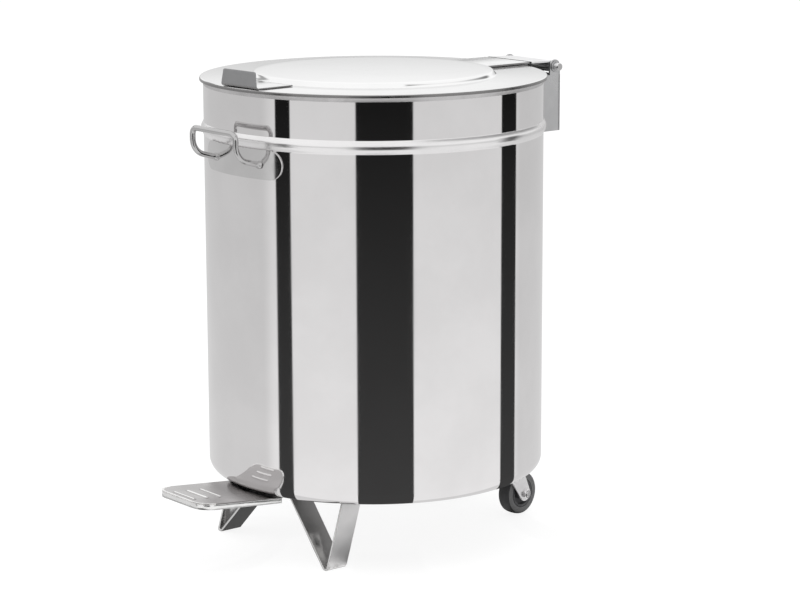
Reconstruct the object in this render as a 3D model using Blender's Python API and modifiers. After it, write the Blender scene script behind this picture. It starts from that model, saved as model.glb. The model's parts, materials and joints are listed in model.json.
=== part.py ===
"""Stainless-steel pedal bin: drum, hinged lid, push-rod linkage, pedal, strip feet and swivel casters.

Units are metres, +Z is up, the front (pedal, handle, lid tab) faces -Y and the hinge is at +Y.
The origin is on the floor, in the middle of the bin's plan.
"""
import math

import bmesh
import bpy
from mathutils import Matrix, Vector

# Drum
DRUM_DIAMETER = 0.450
DRUM_HEIGHT = 0.5284
DRUM_SHEET = 0.0012
BASE_EDGE_RADIUS = 0.016
BEAD_BELOW_RIM = 0.0654
BEAD_HEIGHT = 0.016
BEAD_PROUD = 0.0035
RIM_ROLL_RADIUS = 0.002

# Lid
LID_OVERHANG = 0.0048
LID_SHEET = 0.0012
LID_SKIRT = 0.0044
LID_CORNER_RADIUS = 0.0022
LID_RING_WIDTH = 0.0668
LID_RISE = 0.0056
LID_RISE_WIDTH = 0.006
LID_CROWN = 0.0012
TAB_WIDTH_AT_LID = 0.071
TAB_WIDTH_AT_TOP = 0.064
TAB_HEIGHT = 0.0225
TAB_LEAN = math.radians(4)
TAB_FOOT = 0.056
TAB_SHEET = 0.0018
TAB_BEND_RADIUS = 0.003
TAB_EDGE_INSET = 0.0025
TAB_ANGLE = math.radians(3)

# Hinge
HINGE_REACH = 0.056
HINGE_BELOW_RIM = 0.0047
HINGE_PIN_RADIUS = 0.005
HINGE_PIN_OVERHANG = 0.010
STRAP_WIDTH = 0.090
STRAP_SHEET = 0.0025
STRAP_INSET = 0.0015
STRAP_BEND_PAST_RIM = 0.0085
CURL_END = math.radians(-168)
BRACKET_SHEET = 0.0025
BRACKET_BELOW_PIN = 0.089
BRACKET_SHOULDER = 0.0115
BRACKET_BEND_RADIUS = 0.004
EAR_RADIUS = 0.0095
WEB_CLEARANCE = 0.0027
RING_SHEET = 0.0012
RING_FLANGE = 0.0028

# Linkage from pedal to lid
LID_SWING = math.radians(75)
CRANK_RADIUS = 0.033
CRANK_SHEET = 0.004
CRANK_EYE_RADIUS = 0.0065
CRANK_PIN_RADIUS = 0.003
CRANK_SIDE_GAP = 0.0008
CRANK_SADDLE_ANGLE = math.radians(50)
SLOT_PLAY = 0.0009
YOKE_SHEET = 0.004
YOKE_BORDER = 0.005
YOKE_NECK = 0.010
ROD_RADIUS = 0.004
ROD_FOOT_RADIUS = 0.007
ROD_FOOT_HEIGHT = 0.012
GUIDE_SHEET = 0.0025
GUIDE_BELOW_PIN = 0.084
LOWER_GUIDE_HEIGHT = 0.050
LOWER_GUIDE_LEG = 0.030
LOWER_GUIDE_WIDTH = 0.030
GUIDE_BORDER = 0.010

# Pedal
PEDAL_WIDTH = 0.112
PEDAL_LENGTH = 0.130
PEDAL_REACH = 0.1032
PEDAL_SHEET = 0.0016
PEDAL_EDGE = 0.0085
PEDAL_CORNER_RADIUS = 0.026
PEDAL_RIBS = 3
PEDAL_RIB_LENGTH = 0.050
PEDAL_RIB_RADIUS = 0.004
PEDAL_RIB_PROUD = 0.0016
PEDAL_RIB_PITCH = 0.0205
PEDAL_RIB_START = 0.012
LEVER_TILT = math.radians(5.4)
LEVER_WIDTH = 0.020
LEVER_THICKNESS = 0.005
LEVER_PAST_ROD = 0.013
LEVER_UNDER_PLATE = 0.109
LEVER_BASE_GAP = 0.0012
PIVOT_SETBACK = 0.040
PIVOT_PIN_RADIUS = 0.004
PIVOT_SLEEVE_WALL = 0.0027
PIVOT_SLEEVE_LENGTH = 0.031
PIVOT_BRACKET_SHEET = 0.0025
PIVOT_BRACKET_LENGTH = 0.056
PIVOT_BRACKET_SKIRT = 0.0075
PIVOT_EAR_RADIUS = 0.010
PIVOT_PIN_PAST_RING = 0.0012

# Front feet
FOOT_STRIP_WIDTH = 0.0317
FOOT_SHEET = 0.003
FOOT_EDGE_INSET = 0.0247
FOOT_ANGLE = math.radians(35.9)
FOOT_FLAT = 0.007
FOOT_OUTER_REAR_LEAN = 0.30
FOOT_INNER_REAR_LEAN = 0.06
FOOT_INNER_TOP = 0.029
FOOT_INNER_FLANGE = 0.015
FOOT_OUTER_FLANGE = 0.022

# Casters
CASTER_ANGLE = math.radians(155.9)
CASTER_TURN = math.radians(7.7)
CASTER_TRAIL = 0.023
CASTER_PLATE_RADIUS = 0.022
CASTER_PLATE_SHEET = 0.0025
CASTER_RACE_RADIUS = 0.0175
CASTER_RACE_HEIGHT = 0.0095
RACE_GROOVE_DEPTH = 0.0024
RACE_GROOVE_HEIGHT = 0.0024
KING_PIN_RADIUS = 0.004
KING_PIN_HEAD_RADIUS = 0.007
KING_PIN_HEAD_HEIGHT = 0.003
KING_PIN_FACE_RADIUS = 0.005
FORK_SHEET = 0.0022
FORK_CROWN_GAP = 0.0155
FORK_SIDE_GAP = 0.003
FORK_TOP_LENGTH = 0.034
FORK_SHOULDER = 0.008
FORK_END_RADIUS = 0.0105
WHEEL_DIAMETER = 0.060
WHEEL_WIDTH = 0.020
TYRE_DEPTH = 0.0105
TYRE_CROWN = 0.003
TYRE_TREAD_WIDTH = 0.016
TYRE_SHOULDER = 0.006
HUB_BOSS_RADIUS = 0.0085
HUB_WEB = 0.007
HUB_RIM_SHEET = 0.003
AXLE_RADIUS = 0.004
AXLE_PAST_NUT = 0.001
AXLE_NUT_RADIUS = 0.0065
AXLE_NUT_HEIGHT = 0.0045
AXLE_NUT_SIDES = 6

# Handle
HANDLE_ROOT_SPAN = 0.094
HANDLE_ROOT_BELOW_BEAD = 0.0277
HANDLE_WIRE_RADIUS = 0.0038
HANDLE_STANDOFF = 0.0335
HANDLE_ARM_RADIUS = 0.022
HANDLE_ARM_SLOPE = math.radians(15)
HANDLE_GRIP_BEND = 0.009
HANDLE_RISE = 0.0415
HANDLE_PLATE_LENGTH = 0.161
HANDLE_PLATE_HEIGHT = 0.038
HANDLE_PLATE_SHEET = 0.0018

# Clearances
SEAT_GAP = 0.0003
RUN_GAP = 0.0003
SIDE_GAP = 0.0005
MERGE_DISTANCE = 0.00001
CUT_MARGIN = 0.010

# Facets
DRUM_STEPS = 48
WHEEL_STEPS = 24
ROUND_STEPS = 16
ARC_STEP = math.radians(18)
COARSE_STEP = math.radians(30)
ROLL_STEP = math.radians(45)
RIB_STEPS = 12
BEAD_STEPS = 6
TREAD_STEPS = 6
LID_RISE_STEPS = 4
SHARP_ANGLE = math.radians(40)

# Heights worked up from the floor
WHEEL_RADIUS = WHEEL_DIAMETER / 2
FORK_TOP_Z = WHEEL_DIAMETER + FORK_CROWN_GAP + FORK_SHEET
RACE_Z = FORK_TOP_Z + SEAT_GAP
PLATE_Z = RACE_Z + CASTER_RACE_HEIGHT + RUN_GAP
BASE_Z = PLATE_Z + CASTER_PLATE_SHEET + SEAT_GAP
RIM_Z = BASE_Z + DRUM_HEIGHT
BEAD_Z = RIM_Z - BEAD_BELOW_RIM
LID_TOP_Z = RIM_Z + SEAT_GAP + LID_SHEET
HINGE_Z = RIM_Z - HINGE_BELOW_RIM

# Plan sizes measured from the drum's axis
DRUM_RADIUS = DRUM_DIAMETER / 2
BASE_FLAT_RADIUS = DRUM_RADIUS - BASE_EDGE_RADIUS
LID_RADIUS = DRUM_RADIUS + LID_OVERHANG
LID_RISE_RADIUS = LID_RADIUS - LID_RING_WIDTH
HINGE_Y = DRUM_RADIUS + HINGE_REACH
CURL_RADIUS = HINGE_PIN_RADIUS + RUN_GAP + STRAP_SHEET / 2
BARREL_RADIUS = CURL_RADIUS + STRAP_SHEET / 2
WEB_Y = HINGE_Y + BARREL_RADIUS + WEB_CLEARANCE
REAR_REACH = WEB_Y + BRACKET_SHEET
CHEEK_X = STRAP_WIDTH / 2 + SIDE_GAP

# Linkage places at rest
CRANK_ANGLE = LID_SWING / 2
CRANK_PIN_Y = HINGE_Y - CRANK_RADIUS * math.cos(CRANK_ANGLE)
CRANK_PIN_Z = HINGE_Z - CRANK_RADIUS * math.sin(CRANK_ANGLE)
ROD_Y = HINGE_Y - CRANK_RADIUS * (1 + math.cos(CRANK_ANGLE)) / 2
SLOT_RADIUS = CRANK_PIN_RADIUS + SLOT_PLAY
SLOT_HALF = CRANK_RADIUS * (1 - math.cos(CRANK_ANGLE)) / 2 + SLOT_PLAY
CRANK_X = YOKE_SHEET / 2 + CRANK_SIDE_GAP
SLEEVE_RADIUS = PIVOT_PIN_RADIUS + RUN_GAP + PIVOT_SLEEVE_WALL
LEVER_TOP = SLEEVE_RADIUS + SEAT_GAP + LEVER_THICKNESS
PIVOT_Y = -PIVOT_SETBACK
PIVOT_Z = (BASE_Z - LEVER_BASE_GAP - LEVER_TOP / math.cos(LEVER_TILT)
           - (DRUM_RADIUS - PIVOT_SETBACK) * math.tan(LEVER_TILT))
LEVER_REST_Z = (PIVOT_Z + LEVER_TOP / math.cos(LEVER_TILT)
                - (ROD_Y - PIVOT_Y) * math.tan(LEVER_TILT))
PEDAL_TIP = (DRUM_RADIUS + PEDAL_REACH - PIVOT_SETBACK) / math.cos(LEVER_TILT)
PEDAL_TOP = LEVER_TOP + SEAT_GAP + PEDAL_SHEET
FRONT_REACH = (PIVOT_SETBACK + PEDAL_TIP * math.cos(LEVER_TILT)
               - (PEDAL_TOP - PEDAL_EDGE) * math.sin(LEVER_TILT))

# The drum's axis stands off the origin so that the origin is mid-plan
AXIS_Y = (FRONT_REACH - REAR_REACH) / 2

# Turns for pieces drawn flat or along Z
ACROSS_TURN = (0, math.pi / 2, 0)
FRONT_TURN = (math.pi / 2, 0, 0)
SIDE_TURN = Matrix(((0, 0, 1), (1, 0, 0), (0, 1, 0))).to_euler()

FINISHES = {
    "polished_steel": ((0.78, 0.78, 0.79), 0.14, 1.0),
    "satin_steel": ((0.56, 0.56, 0.57), 0.32, 1.0),
    "zinc_steel": ((0.66, 0.66, 0.68), 0.28, 1.0),
    "dark_steel": ((0.20, 0.20, 0.21), 0.40, 1.0),
    "hub_plastic": ((0.10, 0.10, 0.11), 0.50, 0.0),
    "grey_rubber": ((0.045, 0.045, 0.048), 0.70, 0.0),
}


def clear_scene():
    """Remove every object of the open file."""
    for item in list(bpy.data.objects):
        bpy.data.objects.remove(item, do_unlink=True)


def new_collection(name):
    """Make a collection in the open scene."""
    collection = bpy.data.collections.new(name)
    bpy.context.scene.collection.children.link(collection)
    return collection


def make_finish(name):
    """Return the Principled material of a named finish."""
    known = bpy.data.materials.get(name)
    if known:
        return known
    colour, roughness, metallic = FINISHES[name]
    finish = bpy.data.materials.new(name)
    finish.use_nodes = True
    shader = finish.node_tree.nodes["Principled BSDF"]
    shader.inputs["Base Color"].default_value = (*colour, 1)
    shader.inputs["Roughness"].default_value = roughness
    shader.inputs["Metallic"].default_value = metallic
    return finish


class Workshop:
    """Holds the two collections and makes objects in them."""

    def __init__(self):
        self.parts = new_collection("pedal_bin")
        self.cutters = new_collection("pedal_bin_cutters")

    def empty(self, name, parent=None, place=(0, 0, 0), turn=(0, 0, 0)):
        """Add an empty that carries pieces."""
        item = bpy.data.objects.new(name, None)
        self.parts.objects.link(item)
        item.parent = parent
        item.location = place
        item.rotation_euler = turn
        return item

    def add(self, name, data, parent, finish, place=(0, 0, 0), turn=(0, 0, 0)):
        """Add a piece; one with no finish is a cutter."""
        item = bpy.data.objects.new(name, data)
        if finish:
            self.parts.objects.link(item)
            data.materials.append(make_finish(finish))
        else:
            self.cutters.objects.link(item)
            item.hide_render = True
            item.display_type = 'WIRE'
        item.parent = parent
        item.location = place
        item.rotation_euler = turn
        return item

    def turned(self, name, profile, closed, steps, parent, finish, place=(0, 0, 0), turn=(0, 0, 0)):
        """Turn a profile of (radius, height) points about Z."""
        mesh = bpy.data.meshes.new(name)
        edges = [(index, index + 1) for index in range(len(profile) - 1)]
        if closed:
            edges.append((len(profile) - 1, 0))
        mesh.from_pydata([(radius, 0, height) for radius, height in profile], edges, [])
        item = self.add(name, mesh, parent, finish, place, turn)
        screw = item.modifiers.new("turn", 'SCREW')
        screw.axis = 'Z'
        screw.angle = math.tau
        screw.steps = steps
        screw.render_steps = steps
        screw.use_merge_vertices = True
        screw.merge_threshold = MERGE_DISTANCE
        screw.use_smooth_shade = True
        return item

    def flat(self, name, loops, thickness, parent, finish, place=(0, 0, 0), turn=(0, 0, 0)):
        """Extrude a flat outline, with any holes after it, about its XY plane."""
        curve = bpy.data.curves.new(name, 'CURVE')
        curve.dimensions = '2D'
        curve.fill_mode = 'BOTH'
        curve.extrude = thickness / 2
        for loop in loops:
            spline = curve.splines.new('POLY')
            spline.points.add(len(loop) - 1)
            for point, (across, along) in zip(spline.points, loop):
                point.co = (across, along, 0, 1)
            spline.use_cyclic_u = True
        return self.add(name, curve, parent, finish, place, turn)

    def as_mesh(self, item, finish):
        """Replace a curve by its welded mesh, so that it can be cut or joined."""
        bpy.context.view_layer.update()
        graph = bpy.context.evaluated_depsgraph_get()
        mesh = bpy.data.meshes.new_from_object(item.evaluated_get(graph))
        soup = bmesh.new()
        soup.from_mesh(mesh)
        bmesh.ops.remove_doubles(soup, verts=soup.verts, dist=MERGE_DISTANCE)
        bmesh.ops.recalc_face_normals(soup, faces=soup.faces)
        soup.to_mesh(mesh)
        soup.free()
        name, parent, matrix = item.name, item.parent, item.matrix_world.copy()
        bpy.data.objects.remove(item, do_unlink=True)
        mesh.materials.clear()
        solid = self.add(name, mesh, parent, finish)
        solid.matrix_world = matrix
        return solid

    def prism(self, name, loops, thickness, parent, finish=None, place=(0, 0, 0), turn=(0, 0, 0)):
        """Extrude a flat outline as a mesh."""
        return self.as_mesh(self.flat(name, loops, thickness, parent, finish, place, turn), finish)

    def bar(self, name, radius, length, parent, finish, place, turn=(0, 0, 0), steps=ROUND_STEPS):
        """Add a round bar along its own Z, centred on its place."""
        mesh = bpy.data.meshes.new(name)
        soup = bmesh.new()
        bmesh.ops.create_cone(soup, cap_ends=True, segments=steps, radius1=radius, radius2=radius,
                              depth=length)
        soup.to_mesh(mesh)
        soup.free()
        mesh.shade_smooth()
        mesh.set_sharp_from_angle(angle=SHARP_ANGLE)
        return self.add(name, mesh, parent, finish, place, turn)

    def tube(self, name, outer, bore, length, parent, finish, place, turn=(0, 0, 0)):
        """Add a round tube or ring along its own Z, centred on its place."""
        half = length / 2
        profile = [(outer, half), (outer, -half), (bore, -half), (bore, half)]
        return self.turned(name, profile, True, ROUND_STEPS, parent, finish, place, turn)

    def wire(self, name, points, radius, parent, finish, place=(0, 0, 0)):
        """Add a round wire through the points."""
        curve = bpy.data.curves.new(name, 'CURVE')
        curve.dimensions = '3D'
        curve.bevel_depth = radius
        curve.bevel_resolution = 2
        curve.use_fill_caps = True
        spline = curve.splines.new('POLY')
        spline.points.add(len(points) - 1)
        for point, place_on_path in zip(spline.points, points):
            point.co = (*place_on_path, 1)
        return self.add(name, curve, parent, finish, place)

    def bent_strip(self, name, path, widths, across, thickness, parent, finish, place=(0, 0, 0)):
        """Bend a strip of sheet along the middle of its thickness.

        path is the line of bends, widths the strip's width at each of its points and across the direction
        that the width lies in.
        """
        side = Vector(across)
        points = [Vector(point) for point in path]
        normals = [side.cross(after - before).normalized() for before, after in zip(points, points[1:])]
        corners = []
        for point, width, before, after in zip(points, widths, normals[:1] + normals, normals + normals[-1:]):
            reach = side * width / 2
            lift = (before + after) / (1 + before.dot(after)) * thickness / 2
            corners += [point - reach - lift, point + reach - lift, point + reach + lift, point - reach + lift]
        last = len(corners) - 4
        faces = [(0, 1, 2, 3), (last + 3, last + 2, last + 1, last)]
        for row in range(0, last, 4):
            for turn in range(4):
                here, beside = row + turn, row + (turn + 1) % 4
                faces.append((here, here + 4, beside + 4, beside))
        mesh = bpy.data.meshes.new(name)
        mesh.from_pydata(corners, [], faces)
        return self.add(name, mesh, parent, finish, place)


def combine(item, other, operation='DIFFERENCE'):
    """Cut, intersect or join a piece with a cutter."""
    step = item.modifiers.new(operation.lower(), 'BOOLEAN')
    step.operation = operation
    step.solver = 'EXACT'
    step.object = other


def shares(steps):
    """Return the shares from 0 to 1 that divide a length into equal steps."""
    return [index / steps for index in range(steps + 1)]


def arc(centre, radius, start, end, step=ARC_STEP):
    """Return points on an arc from the start angle to the end angle."""
    count = max(2, math.ceil(abs(end - start) / step - MERGE_DISTANCE))
    angles = [start + (end - start) * share for share in shares(count)]
    return [(centre[0] + radius * math.cos(angle), centre[1] + radius * math.sin(angle)) for angle in angles]


def circle(centre, radius, steps=ROUND_STEPS):
    """Return points round a circle, without repeating the first."""
    return arc(centre, radius, 0, math.tau, math.tau / steps)[:-1]


def slot(centre, half_length, radius):
    """Return the outline of a round-ended slot along the first axis."""
    quarter = math.pi / 2
    right = arc((centre[0] + half_length, centre[1]), radius, -quarter, quarter)
    left = arc((centre[0] - half_length, centre[1]), radius, quarter, 3 * quarter)
    return right + left


def outer_tangent(centre, radius, point, side):
    """Return the angle on a circle where a line from the point touches it; side is +1 or -1."""
    away = (point[0] - centre[0], point[1] - centre[1])
    reach = math.hypot(*away)
    return math.atan2(away[1], away[0]) + side * math.acos(radius / reach)


def build_drum(shop, root):
    """Roll the wall with its bead and rim, and press the base."""
    inner = DRUM_RADIUS - DRUM_SHEET
    seam_z = BASE_Z + BASE_EDGE_RADIUS
    roll = (inner + RIM_ROLL_RADIUS, RIM_Z - RIM_ROLL_RADIUS)
    roll_meets_wall = -math.acos((DRUM_RADIUS - roll[0]) / RIM_ROLL_RADIUS)
    bead_top = BEAD_Z + BEAD_HEIGHT / 2
    bulge = []
    for share in shares(BEAD_STEPS):
        bulge.append((BEAD_PROUD * math.sin(math.pi * share), bead_top - BEAD_HEIGHT * share))
    outside = arc(roll, RIM_ROLL_RADIUS, math.pi / 2, roll_meets_wall, ROLL_STEP)
    outside += [(DRUM_RADIUS + proud, height) for proud, height in bulge]
    outside += [(DRUM_RADIUS, seam_z + SEAT_GAP), (inner, seam_z + SEAT_GAP)]
    inside = [(inner + proud, height) for proud, height in reversed(bulge)]
    inside += arc(roll, RIM_ROLL_RADIUS, math.pi, math.pi / 2, ROLL_STEP)[:-1]
    shop.turned("drum_wall", outside + inside, True, DRUM_STEPS, root, "polished_steel")

    edge = (BASE_FLAT_RADIUS, seam_z)
    dish = [(0, BASE_Z + DRUM_SHEET)]
    dish += arc(edge, BASE_EDGE_RADIUS - DRUM_SHEET, -math.pi / 2, 0, COARSE_STEP)
    dish += arc(edge, BASE_EDGE_RADIUS, 0, -math.pi / 2, COARSE_STEP)
    dish += [(0, BASE_Z)]
    shop.turned("drum_base", dish, False, DRUM_STEPS, root, "polished_steel")


def lid_top_profile():
    """Return the lid's top line from its middle to the turn of its edge."""
    rise_top = LID_TOP_Z + LID_RISE
    rise_shoulder = LID_RISE_RADIUS - LID_RISE_WIDTH
    line = [(rise_shoulder * share, rise_top + LID_CROWN * (1 - share ** 2)) for share in shares(2)[:-1]]
    for share in shares(LID_RISE_STEPS):
        fall = (1 + math.cos(math.pi * share)) / 2
        line.append((rise_shoulder + LID_RISE_WIDTH * share, LID_TOP_Z + LID_RISE * fall))
    corner = (LID_RADIUS - LID_CORNER_RADIUS, LID_TOP_Z - LID_CORNER_RADIUS)
    line += arc(corner, LID_CORNER_RADIUS, math.pi / 2, 0, COARSE_STEP)
    return line


def build_lid(shop, hinge):
    """Press the lid and bend its finger tab."""
    drop = Vector(hinge.location)
    to_lid = (-drop[0], -drop[1], -drop[2])
    top = lid_top_profile()
    skirt_z = LID_TOP_Z - LID_SKIRT
    flat_edge = LID_RADIUS - LID_CORNER_RADIUS
    under = [(radius, height - LID_SHEET) for radius, height in reversed(top) if radius < flat_edge]
    skirt_inside = LID_RADIUS - LID_SHEET
    skirt = [(LID_RADIUS, skirt_z), (skirt_inside, skirt_z), (skirt_inside, LID_TOP_Z - LID_SHEET)]
    shop.turned("lid", top + skirt + under, False, DRUM_STEPS, hinge, "polished_steel", to_lid)

    foot_z = LID_TOP_Z + SEAT_GAP + TAB_SHEET / 2
    bend_y = -(LID_RADIUS - TAB_EDGE_INSET - TAB_BEND_RADIUS)
    bend = (bend_y, foot_z + TAB_BEND_RADIUS)
    line = [(bend_y + TAB_FOOT, foot_z)]
    line += arc(bend, TAB_BEND_RADIUS, -math.pi / 2, -math.pi - TAB_LEAN)
    rise = LID_TOP_Z + TAB_HEIGHT - line[-1][1]
    line.append((line[-1][0] + rise * math.tan(TAB_LEAN), LID_TOP_Z + TAB_HEIGHT))
    widths = [TAB_WIDTH_AT_LID] * (len(line) - 1) + [TAB_WIDTH_AT_TOP]
    path = [(0, along, height) for along, height in line]
    tab = shop.bent_strip("lid_tab", path, widths, (1, 0, 0), TAB_SHEET, hinge, "satin_steel", to_lid)
    tab.rotation_euler = (0, 0, TAB_ANGLE)


def build_hinge(shop, root, hinge):
    """Bend the strap round the pin, and make the bracket that carries the pin."""
    flat_z = LID_TOP_Z - HINGE_Z + SEAT_GAP + STRAP_SHEET / 2
    trim_radius = LID_RISE_RADIUS + STRAP_INSET
    start_y = trim_radius - STRAP_WIDTH / 2 - HINGE_Y
    bend = (LID_RADIUS + STRAP_BEND_PAST_RIM - HINGE_Y, flat_z)
    touch = outer_tangent((0, 0), CURL_RADIUS, bend, -1)
    line = [(start_y, flat_z), bend] + arc((0, 0), CURL_RADIUS, touch, CURL_END)
    path = [(0, along, height) for along, height in line]
    strap = shop.bent_strip("hinge_strap", path, [STRAP_WIDTH] * len(path), (1, 0, 0), STRAP_SHEET, hinge,
                            "polished_steel")
    trim_height = STRAP_SHEET + 2 * CUT_MARGIN
    trim = shop.bar("hinge_strap_trim", trim_radius, trim_height, hinge, None, (0, -HINGE_Y, flat_z),
                    steps=DRUM_STEPS)
    combine(strap, trim)

    eye = (-CRANK_RADIUS * math.cos(CRANK_ANGLE), -CRANK_RADIUS * math.sin(CRANK_ANGLE))
    towards = math.pi + CRANK_ANGLE
    saddle = arc((0, 0), BARREL_RADIUS + SEAT_GAP, towards + CRANK_SADDLE_ANGLE, towards - CRANK_SADDLE_ANGLE)
    nose = arc(eye, CRANK_EYE_RADIUS, towards - math.pi / 2, towards + math.pi / 2)
    hole = circle(eye, CRANK_PIN_RADIUS + SEAT_GAP)
    shop.flat("hinge_crank", [saddle + nose, hole], CRANK_SHEET, hinge, "satin_steel",
              (CRANK_X + CRANK_SHEET / 2, 0, 0), SIDE_TURN)
    pin_length = YOKE_SHEET + CRANK_SIDE_GAP * 2 + CRANK_SHEET
    pin_x = CRANK_X + CRANK_SHEET + CRANK_SIDE_GAP - pin_length / 2
    shop.bar("crank_pin", CRANK_PIN_RADIUS, pin_length, hinge, "satin_steel", (pin_x, *eye), ACROSS_TURN)

    wall_y = math.sqrt((DRUM_RADIUS + SEAT_GAP) ** 2 - CHEEK_X ** 2)
    bead_y = math.sqrt((DRUM_RADIUS + BEAD_PROUD + SEAT_GAP) ** 2 - CHEEK_X ** 2)
    outside_x = CHEEK_X + BRACKET_SHEET
    foot_z = HINGE_Z - BRACKET_BELOW_PIN
    shoulder_z = HINGE_Z - BRACKET_SHOULDER
    top_z = HINGE_Z + EAR_RADIUS
    outer_bend = BRACKET_BEND_RADIUS + BRACKET_SHEET
    bend_y = WEB_Y - BRACKET_BEND_RADIUS
    right = [(outside_x, 0)]
    right += arc((outside_x - outer_bend, bend_y), outer_bend, 0, math.pi / 2, COARSE_STEP)
    inner_centre = (CHEEK_X - BRACKET_BEND_RADIUS, bend_y)
    inner_right = arc(inner_centre, BRACKET_BEND_RADIUS, math.pi / 2, 0, COARSE_STEP)
    left = [(-across, along) for across, along in reversed(right)]
    inner_left = [(-across, along) for across, along in reversed(inner_right)]
    channel = right + left + [(-CHEEK_X, 0)] + inner_left + inner_right + [(CHEEK_X, 0)]
    middle_z = (foot_z + top_z) / 2
    bracket = shop.prism("hinge_bracket", [channel], top_z - foot_z, root, "satin_steel", (0, 0, middle_z))

    notch = BEAD_HEIGHT / 2 + SEAT_GAP
    side = [(wall_y, foot_z), (wall_y, BEAD_Z - notch), (bead_y, BEAD_Z - notch + BEAD_PROUD)]
    side += [(bead_y, BEAD_Z + notch - BEAD_PROUD), (wall_y, BEAD_Z + notch), (wall_y, shoulder_z)]
    side += [(HINGE_Y - EAR_RADIUS, shoulder_z)] + arc((HINGE_Y, HINGE_Z), EAR_RADIUS, math.pi, 0)
    side += [(HINGE_Y + EAR_RADIUS, shoulder_z), (REAR_REACH + CUT_MARGIN, shoulder_z)]
    side += [(REAR_REACH + CUT_MARGIN, foot_z - CUT_MARGIN), (wall_y + CUT_MARGIN, foot_z - CUT_MARGIN)]
    span = 2 * (outside_x + CUT_MARGIN)
    hull = shop.prism("hinge_bracket_side", [side], span, root, None, (0, 0, 0), SIDE_TURN)
    combine(bracket, hull, 'INTERSECT')
    bore = shop.bar("hinge_bracket_bore", HINGE_PIN_RADIUS + RUN_GAP, span, root, None,
                    (0, HINGE_Y, HINGE_Z), ACROSS_TURN)
    combine(bracket, bore)

    pin_half = outside_x + HINGE_PIN_OVERHANG
    shop.bar("hinge_pin", HINGE_PIN_RADIUS, 2 * pin_half, root, "polished_steel", (0, HINGE_Y, HINGE_Z),
             ACROSS_TURN)
    for side_name, sign in (("left", -1), ("right", 1)):
        ring_x = sign * (outside_x + SEAT_GAP + RING_SHEET / 2)
        shop.tube(f"hinge_ring_{side_name}", HINGE_PIN_RADIUS + RING_FLANGE, HINGE_PIN_RADIUS + SEAT_GAP,
                  RING_SHEET, root, "dark_steel", (ring_x, HINGE_Y, HINGE_Z), ACROSS_TURN)


def build_push_rod(shop, root):
    """Make the rod, its slotted yoke and foot, and the two guides that it slides in."""
    slide = shop.empty("rod_slide", root, (0, ROD_Y, 0))
    half_width = SLOT_HALF + SLOT_RADIUS + YOKE_BORDER
    half_height = SLOT_RADIUS + YOKE_BORDER
    neck_z = -half_height - YOKE_NECK
    plate = [(-ROD_RADIUS, neck_z), (ROD_RADIUS, neck_z), (half_width, -half_height)]
    plate += [(half_width, half_height), (-half_width, half_height), (-half_width, -half_height)]
    window = slot((0, 0), SLOT_HALF, SLOT_RADIUS)
    shop.flat("rod_yoke", [plate, window], YOKE_SHEET, slide, "satin_steel", (0, 0, CRANK_PIN_Z), SIDE_TURN)

    foot_z = LEVER_REST_Z + SEAT_GAP
    dome = [(0, ROD_FOOT_HEIGHT), (ROD_FOOT_RADIUS, ROD_FOOT_HEIGHT)]
    dome += arc((0, ROD_FOOT_RADIUS), ROD_FOOT_RADIUS, 0, -math.pi / 2)
    shop.turned("rod_foot", dome, False, ROUND_STEPS, slide, "satin_steel", (0, 0, foot_z))
    rod_low = foot_z + ROD_FOOT_HEIGHT + SEAT_GAP
    rod_high = CRANK_PIN_Z + neck_z - SEAT_GAP
    rod_middle = (rod_low + rod_high) / 2
    shop.bar("push_rod", ROD_RADIUS, rod_high - rod_low, slide, "satin_steel", (0, 0, rod_middle))

    hole_radius = ROD_RADIUS + RUN_GAP
    guide_z = HINGE_Z - GUIDE_BELOW_PIN
    guide_half = CHEEK_X - SEAT_GAP
    front_y = DRUM_RADIUS + SEAT_GAP
    back_y = WEB_Y - SEAT_GAP
    corner = BRACKET_BEND_RADIUS
    tray = [(-guide_half, front_y), (guide_half, front_y), (guide_half, back_y - corner)]
    tray += [(guide_half - corner, back_y), (corner - guide_half, back_y), (-guide_half, back_y - corner)]
    shop.flat("rod_guide_upper", [tray, circle((0, ROD_Y), hole_radius)], GUIDE_SHEET, root, "satin_steel",
              (0, 0, guide_z))

    leg_y = front_y + GUIDE_SHEET / 2
    shelf_z = BASE_Z + LOWER_GUIDE_HEIGHT
    end_y = ROD_Y + hole_radius + GUIDE_BORDER
    path = [(0, leg_y, shelf_z + LOWER_GUIDE_LEG), (0, leg_y, shelf_z), (0, end_y, shelf_z)]
    shelf = shop.bent_strip("rod_guide_lower", path, [LOWER_GUIDE_WIDTH] * len(path), (1, 0, 0), GUIDE_SHEET,
                            root, "satin_steel")
    drill = shop.bar("rod_guide_drill", hole_radius, 2 * CUT_MARGIN, root, None, (0, ROD_Y, shelf_z))
    combine(shelf, drill)


def pedal_outline(inset):
    """Return the pedal's outline, its front corners rounded, brought in by an inset."""
    half = PEDAL_WIDTH / 2 - inset
    tip = -PEDAL_TIP + inset
    back = -PEDAL_TIP + PEDAL_LENGTH
    radius = PEDAL_CORNER_RADIUS - inset
    right = arc((half - radius, tip + radius), radius, -math.pi / 2, 0)
    left = arc((radius - half, tip + radius), radius, -math.pi, -math.pi / 2)
    open_back = back + (CUT_MARGIN if inset else 0)
    return left + right + [(half, open_back), (-half, open_back)]


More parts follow.
